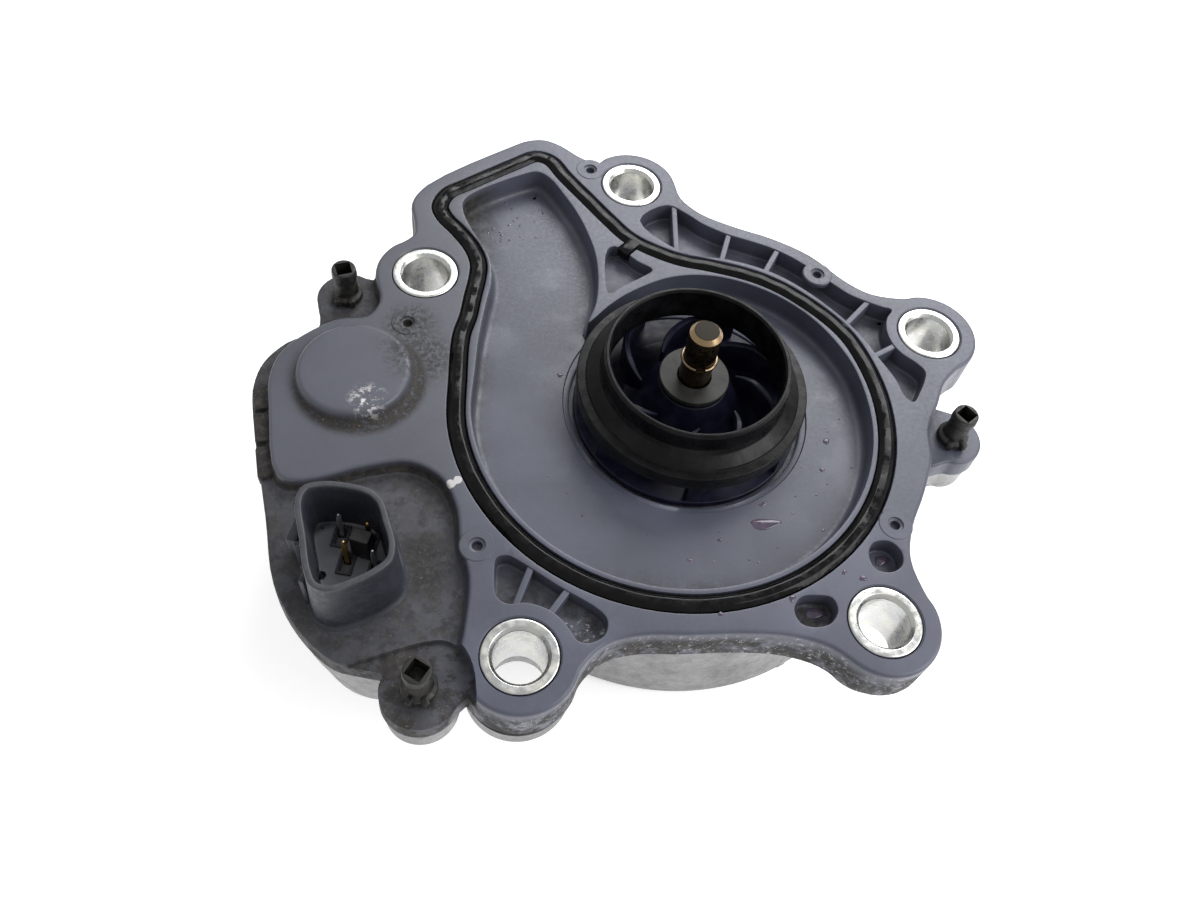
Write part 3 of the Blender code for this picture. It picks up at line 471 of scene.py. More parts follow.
# ---------------------------------------------------------------- material helpers
class Surface:
    """A Principled material whose inputs are built up from procedural nodes."""

    def __init__(self, name, colour, roughness, metallic=0.0, specular=0.5):
        self.material = bpy.data.materials.new(name)
        self.material.use_nodes = True
        self.material.diffuse_color = (*colour, 1.0)
        self.tree = self.material.node_tree
        self.shader = self.tree.nodes["Principled BSDF"]
        self.shader.inputs["Base Color"].default_value = (*colour, 1.0)
        self.shader.inputs["Roughness"].default_value = roughness
        self.shader.inputs["Metallic"].default_value = metallic
        self.shader.inputs["Specular IOR Level"].default_value = specular
        self.place = self.tree.nodes.new("ShaderNodeTexCoord").outputs["Object"]

    def node(self, kind, inputs, output=0, **settings):
        made = self.tree.nodes.new(kind)
        for key, value in settings.items():
            setattr(made, key, value)
        for key, value in inputs.items():
            if isinstance(value, bpy.types.NodeSocket):
                self.tree.links.new(value, made.inputs[key])
            else:
                made.inputs[key].default_value = value
        return made.outputs[output]

    def noise(self, size, detail=4.0, rough=0.55):
        """Noise from 0 to 1 whose lumps are about size millimetres across."""
        return self.node("ShaderNodeTexNoise", {"Vector": self.place, "Scale": 1 / (size * MM),
                                                "Detail": detail, "Roughness": rough})

    def cells(self, size):
        return self.node("ShaderNodeTexVoronoi", {"Vector": self.place, "Scale": 1 / (size * MM)})

    def between(self, value, low, high, to_low=0.0, to_high=1.0):
        return self.node("ShaderNodeMapRange", {"Value": value, "From Min": low, "From Max": high,
                                                "To Min": to_low, "To Max": to_high},
                         interpolation_type="SMOOTHSTEP")

    def clouds(self, low, high, size, detail=4.0, rough=0.55, to_low=0.0, to_high=1.0):
        """Noise whose values from low to high are spread over the given range."""
        return self.between(self.noise(size, detail, rough), low, high, to_low, to_high)

    def maths(self, kind, first, second):
        return self.node("ShaderNodeMath", {0: first, 1: second}, operation=kind,
                         use_clamp=kind != "SUBTRACT")

    def times(self, *values):
        """The product of two or more masks."""
        result = values[0]
        for value in values[1:]:
            result = self.maths("MULTIPLY", result, value)
        return result

    def most(self, *values):
        """The largest of two or more masks."""
        result = values[0]
        for value in values[1:]:
            result = self.maths("MAXIMUM", result, value)
        return result

    def mix(self, first, second, share):
        def colour(value):
            return value if isinstance(value, bpy.types.NodeSocket) else (*value, 1.0)
        return self.node("ShaderNodeMix", {0: share, 6: colour(first), 7: colour(second)}, 2,
                         data_type="RGBA")

    def blend(self, first, second, share):
        return self.node("ShaderNodeMix", {0: share, 2: first, 3: second}, 0, data_type="FLOAT")

    def hollow(self, reach, samples=6):
        """1 in crevices and corners, 0 on open faces."""
        shade = self.node("ShaderNodeAmbientOcclusion", {"Distance": reach * MM}, 1, samples=samples,
                          only_local=True)
        return self.maths("SUBTRACT", 1.0, shade)

    def along(self, axis, start, end):
        """0 up to start millimetres on an axis and 1 beyond end."""
        value = self.node("ShaderNodeSeparateXYZ", {0: self.place}, axis)
        return self.between(value, start * MM, end * MM)

    def near(self, centre, inner, outer):
        """1 within inner millimetres of a point, falling to 0 at outer."""
        away = self.node("ShaderNodeVectorMath", {0: self.place, 1: [v * MM for v in centre]}, 1,
                         operation="DISTANCE")
        return self.between(away, inner * MM, outer * MM, 1.0, 0.0)

    def finish(self, colour=None, roughness=None, height=None, strength=0.3, depth=0.1, metallic=None):
        for key, value in (("Base Color", colour), ("Roughness", roughness), ("Metallic", metallic)):
            if value is not None:
                self.tree.links.new(value, self.shader.inputs[key])
        if height is not None:
            bump = self.node("ShaderNodeBump", {"Height": height, "Strength": strength,
                                                "Distance": depth * MM})
            self.tree.links.new(bump, self.shader.inputs["Normal"])
        return self.material


def housing_dirt_and_shade(s, left, low):
    """Where road dirt sits: corners, connector side, outer skirt, wall feet and round the dome; in the
    corners the mask also carries painted shade from ambient occlusion.
    """
    film = s.times(left, low, s.clouds(0.25, 0.75, 6, 7, 0.72, 0.22, 0.78))
    # Painted shade: ambient occlusion darkens crevices and corners towards the dirt colour, together with the
    # real dirt there.
    crevice_dirt_and_shade = s.times(s.between(s.hollow(5.0), 0.13, 0.42), s.clouds(0.4, 0.53, 1.7, 6, 0.8, 0.3, 1.0),
                     s.blend(0.3, 1.0, left))
    outer_side = s.times(s.most(left, s.along("Y", -34, -44)), 0.9)
    skirt = s.times(s.along("Z", FACE - 0.8, FACE - 4.0), s.clouds(0.36, 0.56, 3.5, 7, 0.7), outer_side)
    wall_foot = s.times(s.along("Z", LEDGE + 0.1, LEDGE + 0.4), s.along("Z", LEDGE + 2.6, LEDGE + 1.2), left,
                        s.clouds(0.38, 0.5, 1.9, 6, 0.8, 0.75, 1.0), 0.95)
    ring_centre = (DOME_CENTRE[0] + 1.2, DOME_CENTRE[1] - 1.2, FACE)
    dome_ring = s.times(s.near(ring_centre, 11.2, 13.2), s.along("Z", FACE + 1.7, FACE + 0.4),
                        s.clouds(0.4, 0.53, 1.6, 6, 0.8, 0.4, 0.95))
    sprayed = s.most(s.near((-52, 4, FACE), 3.0, 9.5), s.near((-54, 12, FACE), 2.0, 7.5),
                     s.near((-46.5, -37.5, LEDGE), 2.5, 9.0))
    spray = s.times(sprayed, s.clouds(0.45, 0.54, 1.0, 6, 0.85), 0.75)
    return s.most(film, crevice_dirt_and_shade, skirt, wall_foot, dome_ring, spray)


def housing_chalk(s):
    """Pale marks: spatter on the dome, a torn fleck by the groove and crystals on the lower rim."""
    spatter = s.times(s.near((DOME_CENTRE[0] + 3.3, DOME_CENTRE[1] - 7.0, FACE + 1.4), 1.0, 4.4),
                      s.clouds(0.5, 0.58, 1.5, 6, 0.75))
    fleck = s.most(s.near((-43.6, -23.4, FACE), 0.0, 1.7), s.near((-42.4, -22.5, FACE), 0.0, 1.6))
    fleck = s.between(s.times(fleck, s.noise(1.0, 5, 0.8)), 0.23, 0.26, 0.0, 0.75)
    rim = s.times(s.along("Y", -45.5, -47.5), s.along("Z", FACE - 0.4, FACE - 1.4),
                  s.clouds(0.56, 0.66, 1.1, 5, 0.8), s.along("X", -36, -28), 0.6)
    return s.most(spatter, fleck, rim)


def housing_material():
    """Glass-filled grey moulding with road dirt over the connector side, and road dirt mixed with painted
    shade in its corners.
    """
    s = Surface("housing_moulding", (0.075, 0.078, 0.098), 0.42)
    left = s.along("X", -36, -46)
    low = s.along("Z", FACE - 1.2, FACE - 3.5)
    base = s.mix((0.058, 0.063, 0.088), (0.08, 0.0865, 0.121), s.clouds(0.3, 0.7, 18, 5))
    base = s.mix(base, (0.11, 0.113, 0.145), s.clouds(0.55, 0.85, 2.6, 5, 0.6, 0.0, 0.3))
    base = s.mix(base, (0.068, 0.069, 0.077), s.times(left, 0.45))
    dirt_and_shade = housing_dirt_and_shade(s, left, low)
    brown = s.mix((0.008, 0.007, 0.006), (0.036, 0.03, 0.023), s.clouds(0.35, 0.7, 1.6))
    # Brown where there is dirt, and darker in the corners as painted shade.
    colour = s.mix(base, brown, dirt_and_shade)
    crust = s.most(s.near((-47.6, -35.5, LEDGE), 1.5, 4.8), s.near((-46.2, -40.5, LEDGE), 1.5, 4.8))
    crust = s.times(crust, s.clouds(0.4, 0.52, 0.9, 6, 0.85, 0.15, 0.9), low)
    colour = s.mix(colour, (0.012, 0.0105, 0.009), crust)
    sand = s.times(s.clouds(0.63, 0.7, 0.7, 3, 0.8), dirt_and_shade, 0.8)
    colour = s.mix(colour, (0.19, 0.165, 0.13), sand)
    colour = s.mix(colour, (0.6, 0.58, 0.58), housing_chalk(s))
    grain = s.noise(0.7, 3, 0.7)
    wet = s.times(s.along("Z", VOLUTE_FLOOR + 1.2, VOLUTE_FLOOR + 0.4), s.clouds(0.5, 0.66, 9), 0.5)
    rough = s.blend(s.between(grain, 0.2, 0.8, 0.34, 0.5), 0.85, dirt_and_shade)
    rough = s.blend(rough, 0.24, wet)
    height = s.maths("ADD", s.times(grain, 0.35), s.times(dirt_and_shade, s.noise(0.9, 4, 0.8)))
    return s.finish(colour, rough, height, 0.35, 0.12)


def connector_material():
    """Black moulding of the connector: a painted highlight along the top of the lip, a floor painted paler as
    painted light where the deep socket lies in shadow, and a black coding block.
    """
    s = Surface("connector_moulding", (0.02, 0.02, 0.022), 0.5)
    # Painted highlight: the top band of the shroud lip is painted lighter.
    lip_highlight = s.times(s.along("Z", SHROUD_TOP - 1.2, SHROUD_TOP - 0.1),
                  s.clouds(0.3, 0.7, 2, to_low=0.3, to_high=0.8))
    base = s.mix((0.017, 0.019, 0.027), (0.03, 0.033, 0.046), s.clouds(0.35, 0.7, 5, 5))
    colour = s.mix(base, (0.055, 0.056, 0.064), lip_highlight)
    # Painted light: the socket floor is painted paler to stand in for light reaching into the deep socket.
    painted_floor_light = s.times(s.along("Z", SHROUD_FLOOR + 0.3, SHROUD_FLOOR + 0.05),
                         s.near((-59.0, -39.5, SHROUD_FLOOR), 7.6, 9.0))
    colour = s.mix(colour, (0.15, 0.155, 0.175), painted_floor_light)
    block = s.times(s.near((*CODING_BLOCK, FACE + 2.6), 3.4, 3.7), s.along("Z", FACE + 0.1, FACE + 0.4))
    colour = s.mix(colour, (0.009, 0.009, 0.011), block)
    dust = s.times(s.between(s.hollow(2.0), 0.3, 0.8), s.clouds(0.4, 0.7, 1.5, 5, 0.7), 0.7)
    colour = s.mix(colour, (0.028, 0.024, 0.02), dust)
    return s.finish(colour, s.clouds(0.3, 0.7, 1.0, to_low=0.38, to_high=0.6), s.noise(0.5, 3), 0.15, 0.03)


def aluminium_material():
    """As-cast aluminium, dull and lightly stained, with painted shade darkening its corners."""
    s = Surface("die_cast_aluminium", (0.42, 0.42, 0.42), 0.5, 1.0)
    cloud = s.noise(10, 6, 0.65)
    skin = s.noise(1.2, 6, 0.75)
    stain = s.clouds(0.55, 0.72, 5, 6, 0.7)
    # Painted shade: ambient occlusion darkens corners and hollows.
    crevice_dirt_and_shade = s.between(s.hollow(3.0), 0.3, 0.8)
    colour = s.mix((0.2, 0.2, 0.205), (0.36, 0.36, 0.36), s.between(cloud, 0.3, 0.72))
    # Real stains and painted corner shade together darken the colour and dull the metal.
    dirt_and_shade = s.most(s.times(stain, 0.45), s.times(crevice_dirt_and_shade, 0.7))
    colour = s.mix(colour, (0.1, 0.09, 0.078), dirt_and_shade)
    metal = s.between(dirt_and_shade, 0.0, 0.8, 1.0, 0.55)
    return s.finish(colour, s.between(skin, 0.3, 0.75, 0.38, 0.68), s.maths("ADD", skin, cloud), 0.55, 0.16,
                    metallic=metal)


def zinc_material():
    """Zinc-plated steel with turning marks and a faint yellow passivation."""
    s = Surface("zinc_plate", (0.74, 0.73, 0.66), 0.25, 1.0)
    tint = s.clouds(0.35, 0.7, 3, 4)
    colour = s.mix((0.55, 0.56, 0.56), (0.67, 0.66, 0.61), tint)
    spots = s.clouds(0.66, 0.76, 0.9, 5, 0.75)
    colour = s.mix(colour, (0.3, 0.27, 0.22), s.times(spots, 0.5))
    return s.finish(colour, s.clouds(0.3, 0.75, 1.5, 5, to_low=0.2, to_high=0.42), s.noise(0.4, 3), 0.15,
                    0.03)


def rubber_material():
    """Black rubber wet with coolant."""
    s = Surface("wet_black_rubber", (0.006, 0.006, 0.007), 0.12, specular=0.16)
    colour = s.mix((0.002, 0.002, 0.0025), (0.006, 0.006, 0.007), s.clouds(0.4, 0.75, 3, 4))
    return s.finish(colour, s.clouds(0.42, 0.6, 2, 4, to_low=0.07, to_high=0.3), s.noise(2.4, 2), 0.3, 0.15)


def impeller_material():
    """Black filled plastic, satin, with fine turning rings."""
    s = Surface("impeller_black", (0.012, 0.012, 0.013), 0.3, specular=0.15)
    colour = s.mix((0.0025, 0.0025, 0.003), (0.008, 0.008, 0.009), s.clouds(0.35, 0.7, 4, 5))
    return s.finish(colour, s.clouds(0.3, 0.7, 2.2, 5, to_low=0.2, to_high=0.42), s.noise(1.4, 4), 0.2, 0.06)


def hub_material():
    """Navy gloss plastic with a film of coolant."""
    s = Surface("hub_navy", (0.008, 0.009, 0.028), 0.12, specular=0.18)
    colour = s.mix((0.004, 0.0045, 0.012), (0.013, 0.013, 0.03), s.clouds(0.35, 0.7, 5, 4))
    return s.finish(colour, s.clouds(0.35, 0.7, 3, 4, to_low=0.34, to_high=0.5), s.noise(2.2, 3), 0.15, 0.08)


def coolant_material():
    """Dried pinkish coolant film, glossy."""
    s = Surface("coolant_film", (0.07, 0.055, 0.085), 0.08)
    colour = s.mix((0.05, 0.045, 0.07), (0.1, 0.07, 0.11), s.clouds(0.35, 0.7, 1.5, 3))
    return s.finish(colour, s.clouds(0.3, 0.7, 1, 3, to_low=0.05, to_high=0.16), s.noise(1.2, 2), 0.1, 0.05)


def steel_material(name, colour, dark, rough=(0.16, 0.34)):
    s = Surface(name, colour, 0.25, 1.0)
    tone = s.mix(dark, colour, s.clouds(0.3, 0.66, 4, 4, 0.6))
    return s.finish(tone, s.between(s.noise(0.8, 4), 0.3, 0.7, *rough), s.noise(0.35, 3), 0.15, 0.02)


def shaft_material():
    """Ground steel, bronzed by heat, with a bright chamfer and a dull, rough end face painted dark as painted
    shade.
    """
    s = Surface("bronzed_shaft_steel", (0.2, 0.15, 0.1), 0.3, 1.0)
    tone = s.mix((0.06, 0.045, 0.03), (0.15, 0.11, 0.07), s.clouds(0.35, 0.66, 4, 4, 0.6))
    chamfer = s.along("Z", SHAFT_TOP - 1.1, SHAFT_TOP - 0.8)
    tone = s.mix(tone, (0.3, 0.21, 0.12), chamfer)
    # Painted shade: the end face is painted dark in place of its dark reflection.
    end_face = s.along("Z", SHAFT_TOP - 0.12, SHAFT_TOP - 0.04)
    tone = s.mix(tone, (0.035, 0.032, 0.027), end_face)
    rough = s.blend(s.clouds(0.3, 0.7, 0.8, 4, to_low=0.25, to_high=0.4), 0.6, end_face)
    return s.finish(tone, rough, s.noise(0.35, 3), 0.15, 0.02)


def plain_material(name, dark, light, rough, size=2.0, bump=0.25, specular=0.5):
    """Two close tones in clouds, with a matching roughness and a fine bump."""
    s = Surface(name, light, sum(rough) / 2, specular=specular)
    colour = s.mix(dark, light, s.clouds(0.32, 0.7, size * 2, 5))
    return s.finish(colour, s.between(s.noise(size, 5), 0.3, 0.7, *rough), s.noise(size / 3, 4), bump, 0.05)


def lamination_material():
    """Stack of thin steel sheets: fine level lines."""
    s = Surface("lamination_sheets", (0.3, 0.31, 0.33), 0.45, 1.0)
    lines = s.node("ShaderNodeTexWave", {"Vector": s.place, "Scale": 320.0, "Distortion": 0.4}, 1,
                   bands_direction="Z")
    colour = s.mix((0.12, 0.12, 0.13), (0.36, 0.36, 0.38), lines)
    return s.finish(colour, s.clouds(0.3, 0.7, 2, 4, to_low=0.35, to_high=0.6), lines, 0.4, 0.1)


def copper_material():
    """Enamelled windings: fine lines round each coil."""
    s = Surface("enamelled_copper", (0.7, 0.28, 0.1), 0.3, 1.0)
    wire = s.node("ShaderNodeTexWave", {"Vector": s.place, "Scale": 260.0, "Distortion": 1.5}, 1,
                  bands_direction="DIAGONAL")
    colour = s.mix((0.28, 0.09, 0.03), (0.78, 0.34, 0.13), wire)
    return s.finish(colour, s.clouds(0.3, 0.7, 3, 4, to_low=0.22, to_high=0.4), wire, 0.6, 0.2)


def board_material():
    """Green solder mask with paler copper areas under it."""
    s = Surface("solder_mask", (0.015, 0.12, 0.05), 0.35)
    copper_area = s.between(s.cells(5), 0.35, 0.4)
    colour = s.mix((0.012, 0.1, 0.042), (0.03, 0.19, 0.08), copper_area)
    return s.finish(colour, s.clouds(0.3, 0.7, 2, 4, to_low=0.3, to_high=0.5), copper_area, 0.2, 0.05)


housing_plastic = housing_material()
connector_plastic = connector_material()
aluminium = aluminium_material()
zinc = zinc_material()
rubber = rubber_material()
impeller_black = impeller_material()
hub_navy = hub_material()
shaft_steel = shaft_material()
ring_steel = steel_material("spring_steel", (0.3, 0.22, 0.14), (0.12, 0.09, 0.06))
gold = steel_material("gold_plated_pin", (0.95, 0.62, 0.22), (0.7, 0.42, 0.13), (0.3, 0.45))
tin = steel_material("tin_plated_pin", (0.85, 0.85, 0.83), (0.6, 0.6, 0.59), (0.3, 0.45))
ceramic = plain_material("washer_ceramic_grey", (0.018, 0.018, 0.0175), (0.036, 0.036, 0.034), (0.32, 0.5),
                         specular=0.2)
grease = plain_material("greasy_black_post", (0.003, 0.003, 0.0028), (0.016, 0.014, 0.012), (0.35, 0.75),
                        1.4, 0.8)
carbon = plain_material("bush_carbon", (0.012, 0.012, 0.012), (0.035, 0.035, 0.035), (0.35, 0.6))
ferrite = plain_material("magnet_ferrite", (0.035, 0.035, 0.038), (0.07, 0.07, 0.075), (0.5, 0.75))
can_plastic = plain_material("can_moulding", (0.1, 0.105, 0.13), (0.15, 0.155, 0.19), (0.35, 0.55))
black_part = plain_material("moulded_package", (0.012, 0.012, 0.013), (0.03, 0.03, 0.032), (0.4, 0.6), 1.0)
sleeve_film = plain_material("capacitor_film", (0.02, 0.028, 0.07), (0.045, 0.055, 0.11), (0.25, 0.42))
seal_rubber = plain_material("dry_black_rubber", (0.006, 0.006, 0.006), (0.02, 0.02, 0.02), (0.35, 0.6))
coolant_film = coolant_material()
lamination = lamination_material()
copper = copper_material()
solder_mask = board_material()


def keep(nodes, finish):
    """Carried-over solids keep their shape and take a better finish."""
    for name in nodes:
        item = bpy.data.objects[name]
        for entry in item.material_slots:
            entry.material = finish
        if not item.material_slots:
            item.data.materials.append(finish)


def place(item, body, slot, *nodes):
    """A new piece that moves with a body and stands for solids of the frame."""
    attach(item, body)
    if nodes:
        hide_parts(*nodes)
    return item


# ---------------------------------------------------------------- front housing
def relief():
    """The flange with everything that is cored into its face, as one closed body."""
    shape = bmesh.new()
    foot = FACE - FLANGE_DEPTH
    rounding = filleted([(-1.6, FACE), (0, FACE, 0.95), (0, FACE - 1.6)])[1:-1]
    edge_top, edge_foot = wall(shape, flange_outline(), rounding + [(0.12, foot + 0.3), (-0.18, foot)])

    half = 1.75
    lip = [(0.3, FACE), (0.1, FACE - 0.06), (0.0, FACE - 0.3)]
    groove = ([(half + reach, height) for reach, height in lip]
              + [(half, FACE - 2.3), (half - 0.3, FACE - 2.6), (-half + 0.3, FACE - 2.6), (-half, FACE - 2.3)]
              + [(-half - reach, height) for reach, height in reversed(lip)])
    groove_outer, groove_inner = wall(shape, groove_centreline(), groove)

    def pocket(outline, floor, fillet):
        profile = lip + filleted([(0, FACE - 0.3), (-0.12, floor, fillet), (-0.12 - 1.6 * fillet, floor)])[1:]
        top, bottom = wall(shape, outline, profile)
        fill(shape, bottom)
        return top

    outer_holes = [groove_outer,
                   pocket(long_pocket_outline(), FACE - 4, 0.7),
                   pocket(bolt_pocket_outline(), FACE - 3, 0.6),
                   pocket(smooth([(30.4, -33.3), (31.6, -31.1), (34.5, -30.7), (36.3, -32.5), (36.1, -35.2),
                                  (33.9, -36.7), (31.2, -36.2)]), FACE - 3.6, 0.5),
                   pocket(smooth([(15.8, -44.6), (17.2, -42.3), (20, -41.8), (22.6, -42.2), (23.3, -44.4),
                                  (21.8, -46.8), (19, -47.6), (16.7, -47)]), FACE - 3.6, 0.5)]
    inner_holes = [pocket(tongue_pocket_outline(), FACE - 3, 0.5)]

    def tongue_limit(point):
        return max(0.0, point.length - WELL_RADIUS - 1.6)

    side = lip + filleted([(0, FACE - 0.3), (-0.25, VOLUTE_FLOOR, 2.0), (-3.2, VOLUTE_FLOOR)])[1:]
    volute_top, volute_floor = wall(shape, volute_outline(), side, tongue_limit)
    well = [(WELL_RADIUS + 1.3, VOLUTE_FLOOR), (WELL_RADIUS + 1.1, VOLUTE_FLOOR - 0.35),
            (WELL_RADIUS + 0.25, VOLUTE_FLOOR - 0.4), (WELL_RADIUS, VOLUTE_FLOOR - 0.6), (WELL_RADIUS, foot)]
    well_top, well_foot = wall(shape, circle((0, 0), 1.0, 96), [(radius - 1.0, z) for radius, z in well])
    fill(shape, volute_floor, well_top)

    sleeve_top, sleeve_foot = [], []
    for bolt in BOLTS:
        hole = [(SLEEVE_OUTER + 0.4, FACE), (SLEEVE_OUTER + 0.15, FACE - 0.25), (SLEEVE_OUTER + 0.15, foot)]
        top, bottom = wall(shape, circle(bolt, 1.0, 56), [(radius - 1.0, z) for radius, z in hole])
        sleeve_top.append(top)
        sleeve_foot.append(bottom)
    dome = filleted([(DOME_RADIUS + 2.2, FACE), (DOME_RADIUS + 0.15, FACE, 1.5),
                     (DOME_RADIUS - 0.5, DOME_TOP, 1.2), (DOME_RADIUS - 3, DOME_TOP)])
    dome_foot, dome_top = wall(shape, circle(DOME_CENTRE, 1.0, 96), [(radius - 1.0, z) for radius, z in dome])
    fill(shape, dome_top)
    outer_holes.append(dome_foot)
    fill(shape, edge_top, *outer_holes, *sleeve_top)
    fill(shape, groove_inner, *inner_holes, volute_top)
    fill(shape, edge_foot, well_foot, *sleeve_foot)
    return finish_mesh("housing", shape, housing_plastic)


def plate(name, outline, low, high):
    return swept(name, outline, filleted([(-3, high), (0, high, 0.6), (0.15, low)]))


def bump_strip(name, outline, low, reach, high):
    """A concave fillet round the foot of a wall."""
    curve = [(-1.5, high), (0.02, high)]
    for i in range(1, 6):
        angle = math.radians(18 * i)
        curve.append((reach * (1 - math.cos(angle)) + 0.02, high - (high - low) * math.sin(angle)))
    return swept(name, outline, curve + [(reach, low - 0.6), (-1.5, low - 0.6)])


def gate_disc(name, centre):
    """Low round pad left by an ejector, with a dimple."""
    x, y = centre
    return turned(name, filleted([(0, FACE + 0.12), (3.0, FACE + 0.12, 0.15), (3.2, FACE - 0.1),
                                  (3.2, FACE - 0.9), (0, FACE - 0.9)]), centre=(x, y), segments=40)


def front_housing():
    housing = relief()
    flange_foot = FACE - FLANGE_DEPTH
    cove = bump_strip("flange_cove", flange_outline(), LEDGE - 0.2, 1.7, FACE - 0.9)
    cove = combined(cove, "INTERSECT", [swept("cove_area", offset(bay_outline(), -0.6),
                                              [(0, FACE), (0, LEDGE - 1.5)])])
    solids = [cove,
              plate("bay_plate", bay_outline(), SPLIT - 0.02, LEDGE),
              plate("right_ear_plate", right_ear_outline(EAR_RADIUS), SPLIT + 0.03, LEDGE + 0.04)]
    for number, bolt in enumerate(BOLTS, 1):
        foot = filleted([(BOSS_FOOT_RADIUS + 0.4, FACE - 5), (BOSS_FOOT_RADIUS, SLEEVE_LOW, 0.4),
                         (SLEEVE_OUTER + 0.17, SLEEVE_LOW, 0.15), (SLEEVE_OUTER + 0.17, FACE - 5)], True)
        solids.append(turned(f"boss_foot_{number}", foot, centre=bolt, segments=56, closed=True))
    top = FACE - 0.25
    ribs = [((-1, 50.4), (-1, 36)), ((10.8, 43.2), (8.5, 34.6)), ((21.2, 39.4), (17.8, 32.6)),
            ((39, 26), (33, 19)), ((43.2, 14.8), (38, 11.5))]
    solids += [rib(f"long_pocket_rib_{i}", a, b, FACE - 4.6, top) for i, (a, b) in enumerate(ribs, 1)]
    for i, (a, b) in enumerate([((-28.9, -38.6), (-31.3, -46)), ((-22.6, -42.6), (-25.6, -47.2))], 1):
        solids.append(rib(f"bolt_pocket_rib_{i}", a, b, FACE - 3.6, top))
    steps = [(-79.0, -5.6, 5.2), (-77.7, -12.0, 6.4), (-76.0, -19.2, 6.6)]
    solids += [box(f"side_step_{i}", (x, y, LEDGE - 0.6), (4.2, length, 3.0), 14, 0.5)
               for i, (x, y, length) in enumerate(steps, 1)]
    gates = [(-54.7, 12.4), (-19.4, 59.2), (28.9, 32.6), (36.2, -27.2), (-38.2, -35.2)]
    solids += [gate_disc(f"gate_{i}", centre) for i, centre in enumerate(gates, 1)]
    combined(housing, "UNION", solids)

    cuts = [swept("cover_recess", offset(cover_outline(), 0.4), [(0, SPLIT - 0.06), (0, EAR_FOOT)]),
            swept("right_recess", offset(right_ear_outline(EAR_RADIUS - 0.3), 0.4),
                  [(0, SPLIT - 0.1), (0, EAR_FOOT)]),
            drill("can_recess", (0, 0), CAN_RIM_RADIUS + 0.4, EAR_FOOT - 1, SPLIT - 0.14, 96),
            drill("dome_hollow", DOME_CENTRE, 9.2, CUTTER_LOW, DOME_TOP - 1.6),
            box("tab_slot", (*TAB_PLACE, FACE), (3.2, 5.2, 5.2), TAB_TURN, 0.2)]
    for number, ear in enumerate(EARS, 1):
        cuts.append(drill(f"post_hole_{number}", ear, SCREW_HOLE, CUTTER_LOW, segments=32))
    for number, (x, y) in enumerate(gates, 1):
        dimple = filleted([(0, FACE + 1), (1.6, FACE + 1), (1.45, FACE - 0.15, 0.1), (0.95, FACE - 0.3),
                           (0.9, FACE - 1.3), (0, FACE - 1.3)])
        cuts.append(turned(f"dimple_{number}", dimple, centre=(x, y), segments=40))
    ear_floor = smooth([(-58, -56.2), (-54.4, -54.6), (-50.5, -53.2), (-46, -51.6), (-42.2, -51.2),
                        (-39.6, -52.8), (-37, -58), (-38, -70), (-52, -72), (-58, -66)])
    cuts.append(swept("ear_floor", ear_floor, [(0, FACE + 0.5), (0, LEDGE + 0.3), (-0.5, LEDGE - 0.7)]))
    cuts.append(swept("socket_opening", offset(shroud_outline(), -SHROUD_WALL - 0.3),
                      [(0, FACE + 1), (0, flange_foot - 3)]))
    combined(housing, "DIFFERENCE", cuts)
    fine_normals(housing)
    return housing


def connector():
    """Connector shroud with its floor, the pin sockets, the coding block and the outer latch."""
    lip = filleted([(1.3, LEDGE - 2.4), (1.3, LEDGE - 0.1), (0.55, LEDGE + 0.7, 1.4),
                    (-0.05, SHROUD_TOP, 0.3), (-SHROUD_WALL + 0.25, SHROUD_TOP, 0.3),
                    (-SHROUD_WALL + 0.1, SHROUD_TOP - 1.2), (-SHROUD_WALL - 0.3, SHROUD_FLOOR, 0.5),
                    (-SHROUD_WALL - 1.6, SHROUD_FLOOR)])
    shape = bmesh.new()
    foot, floor = wall(shape, shroud_outline(), lip)
    fill(shape, floor)
    fill(shape, foot)
    body = finish_mesh("connector_shroud", shape, connector_plastic)
    solids = [box("coding_block", (*CODING_BLOCK, FACE + 1.7), (3.3, 2.5, 6.4), -16, 0.3)]
    for number, (x, y) in enumerate(PINS, 1):
        solids.append(box(f"pin_frame_{number}", (x + 0.1, y - 1.2, SHROUD_FLOOR - 0.4), (2.7, 4.4, 1.6),
                          -8, 0.2))
    solids += [rib("latch_rib_1", (-68.5, -31.9), (-66.4, -31.6), LEDGE - 0.5, SHROUD_TOP - 3.4, 0.9),
               rib("latch_rib_2", (-67.1, -39.7), (-64.8, -39.4), LEDGE - 0.5, SHROUD_TOP - 3.6, 0.9),
               rib("latch_rib_3", (-65.1, -46.0), (-64.2, -42.4), LEDGE - 0.5, SHROUD_TOP - 4.4, 0.9),
               box("latch_ramp", (-67.6, -36.2, FACE + 1.6), (2.0, 4.4, 6.0), -12, 0.5)]
    combined(body, "UNION", solids)
    cuts = []
    for number, (x, y) in enumerate(PINS, 1):
        cuts.append(box(f"pin_window_{number}", (x + 0.1, y - 1.2, SHROUD_FLOOR), (1.9, 3.6, 3.4), -8, 0.1))
        cuts.append(box(f"pin_slot_{number}", (x, y, LEDGE), (1.2, 1.2, 12.0)))
    cuts += [drill("air_hole", (-63.4, -41.6), 0.85, FACE - 3, FACE + 1, 32),
             drill("small_hole", (-57.0, -42.6), 0.45, FACE - 3, FACE + 1, 24)]
    combined(body, "DIFFERENCE", cuts)
    fine_normals(body)
    return body


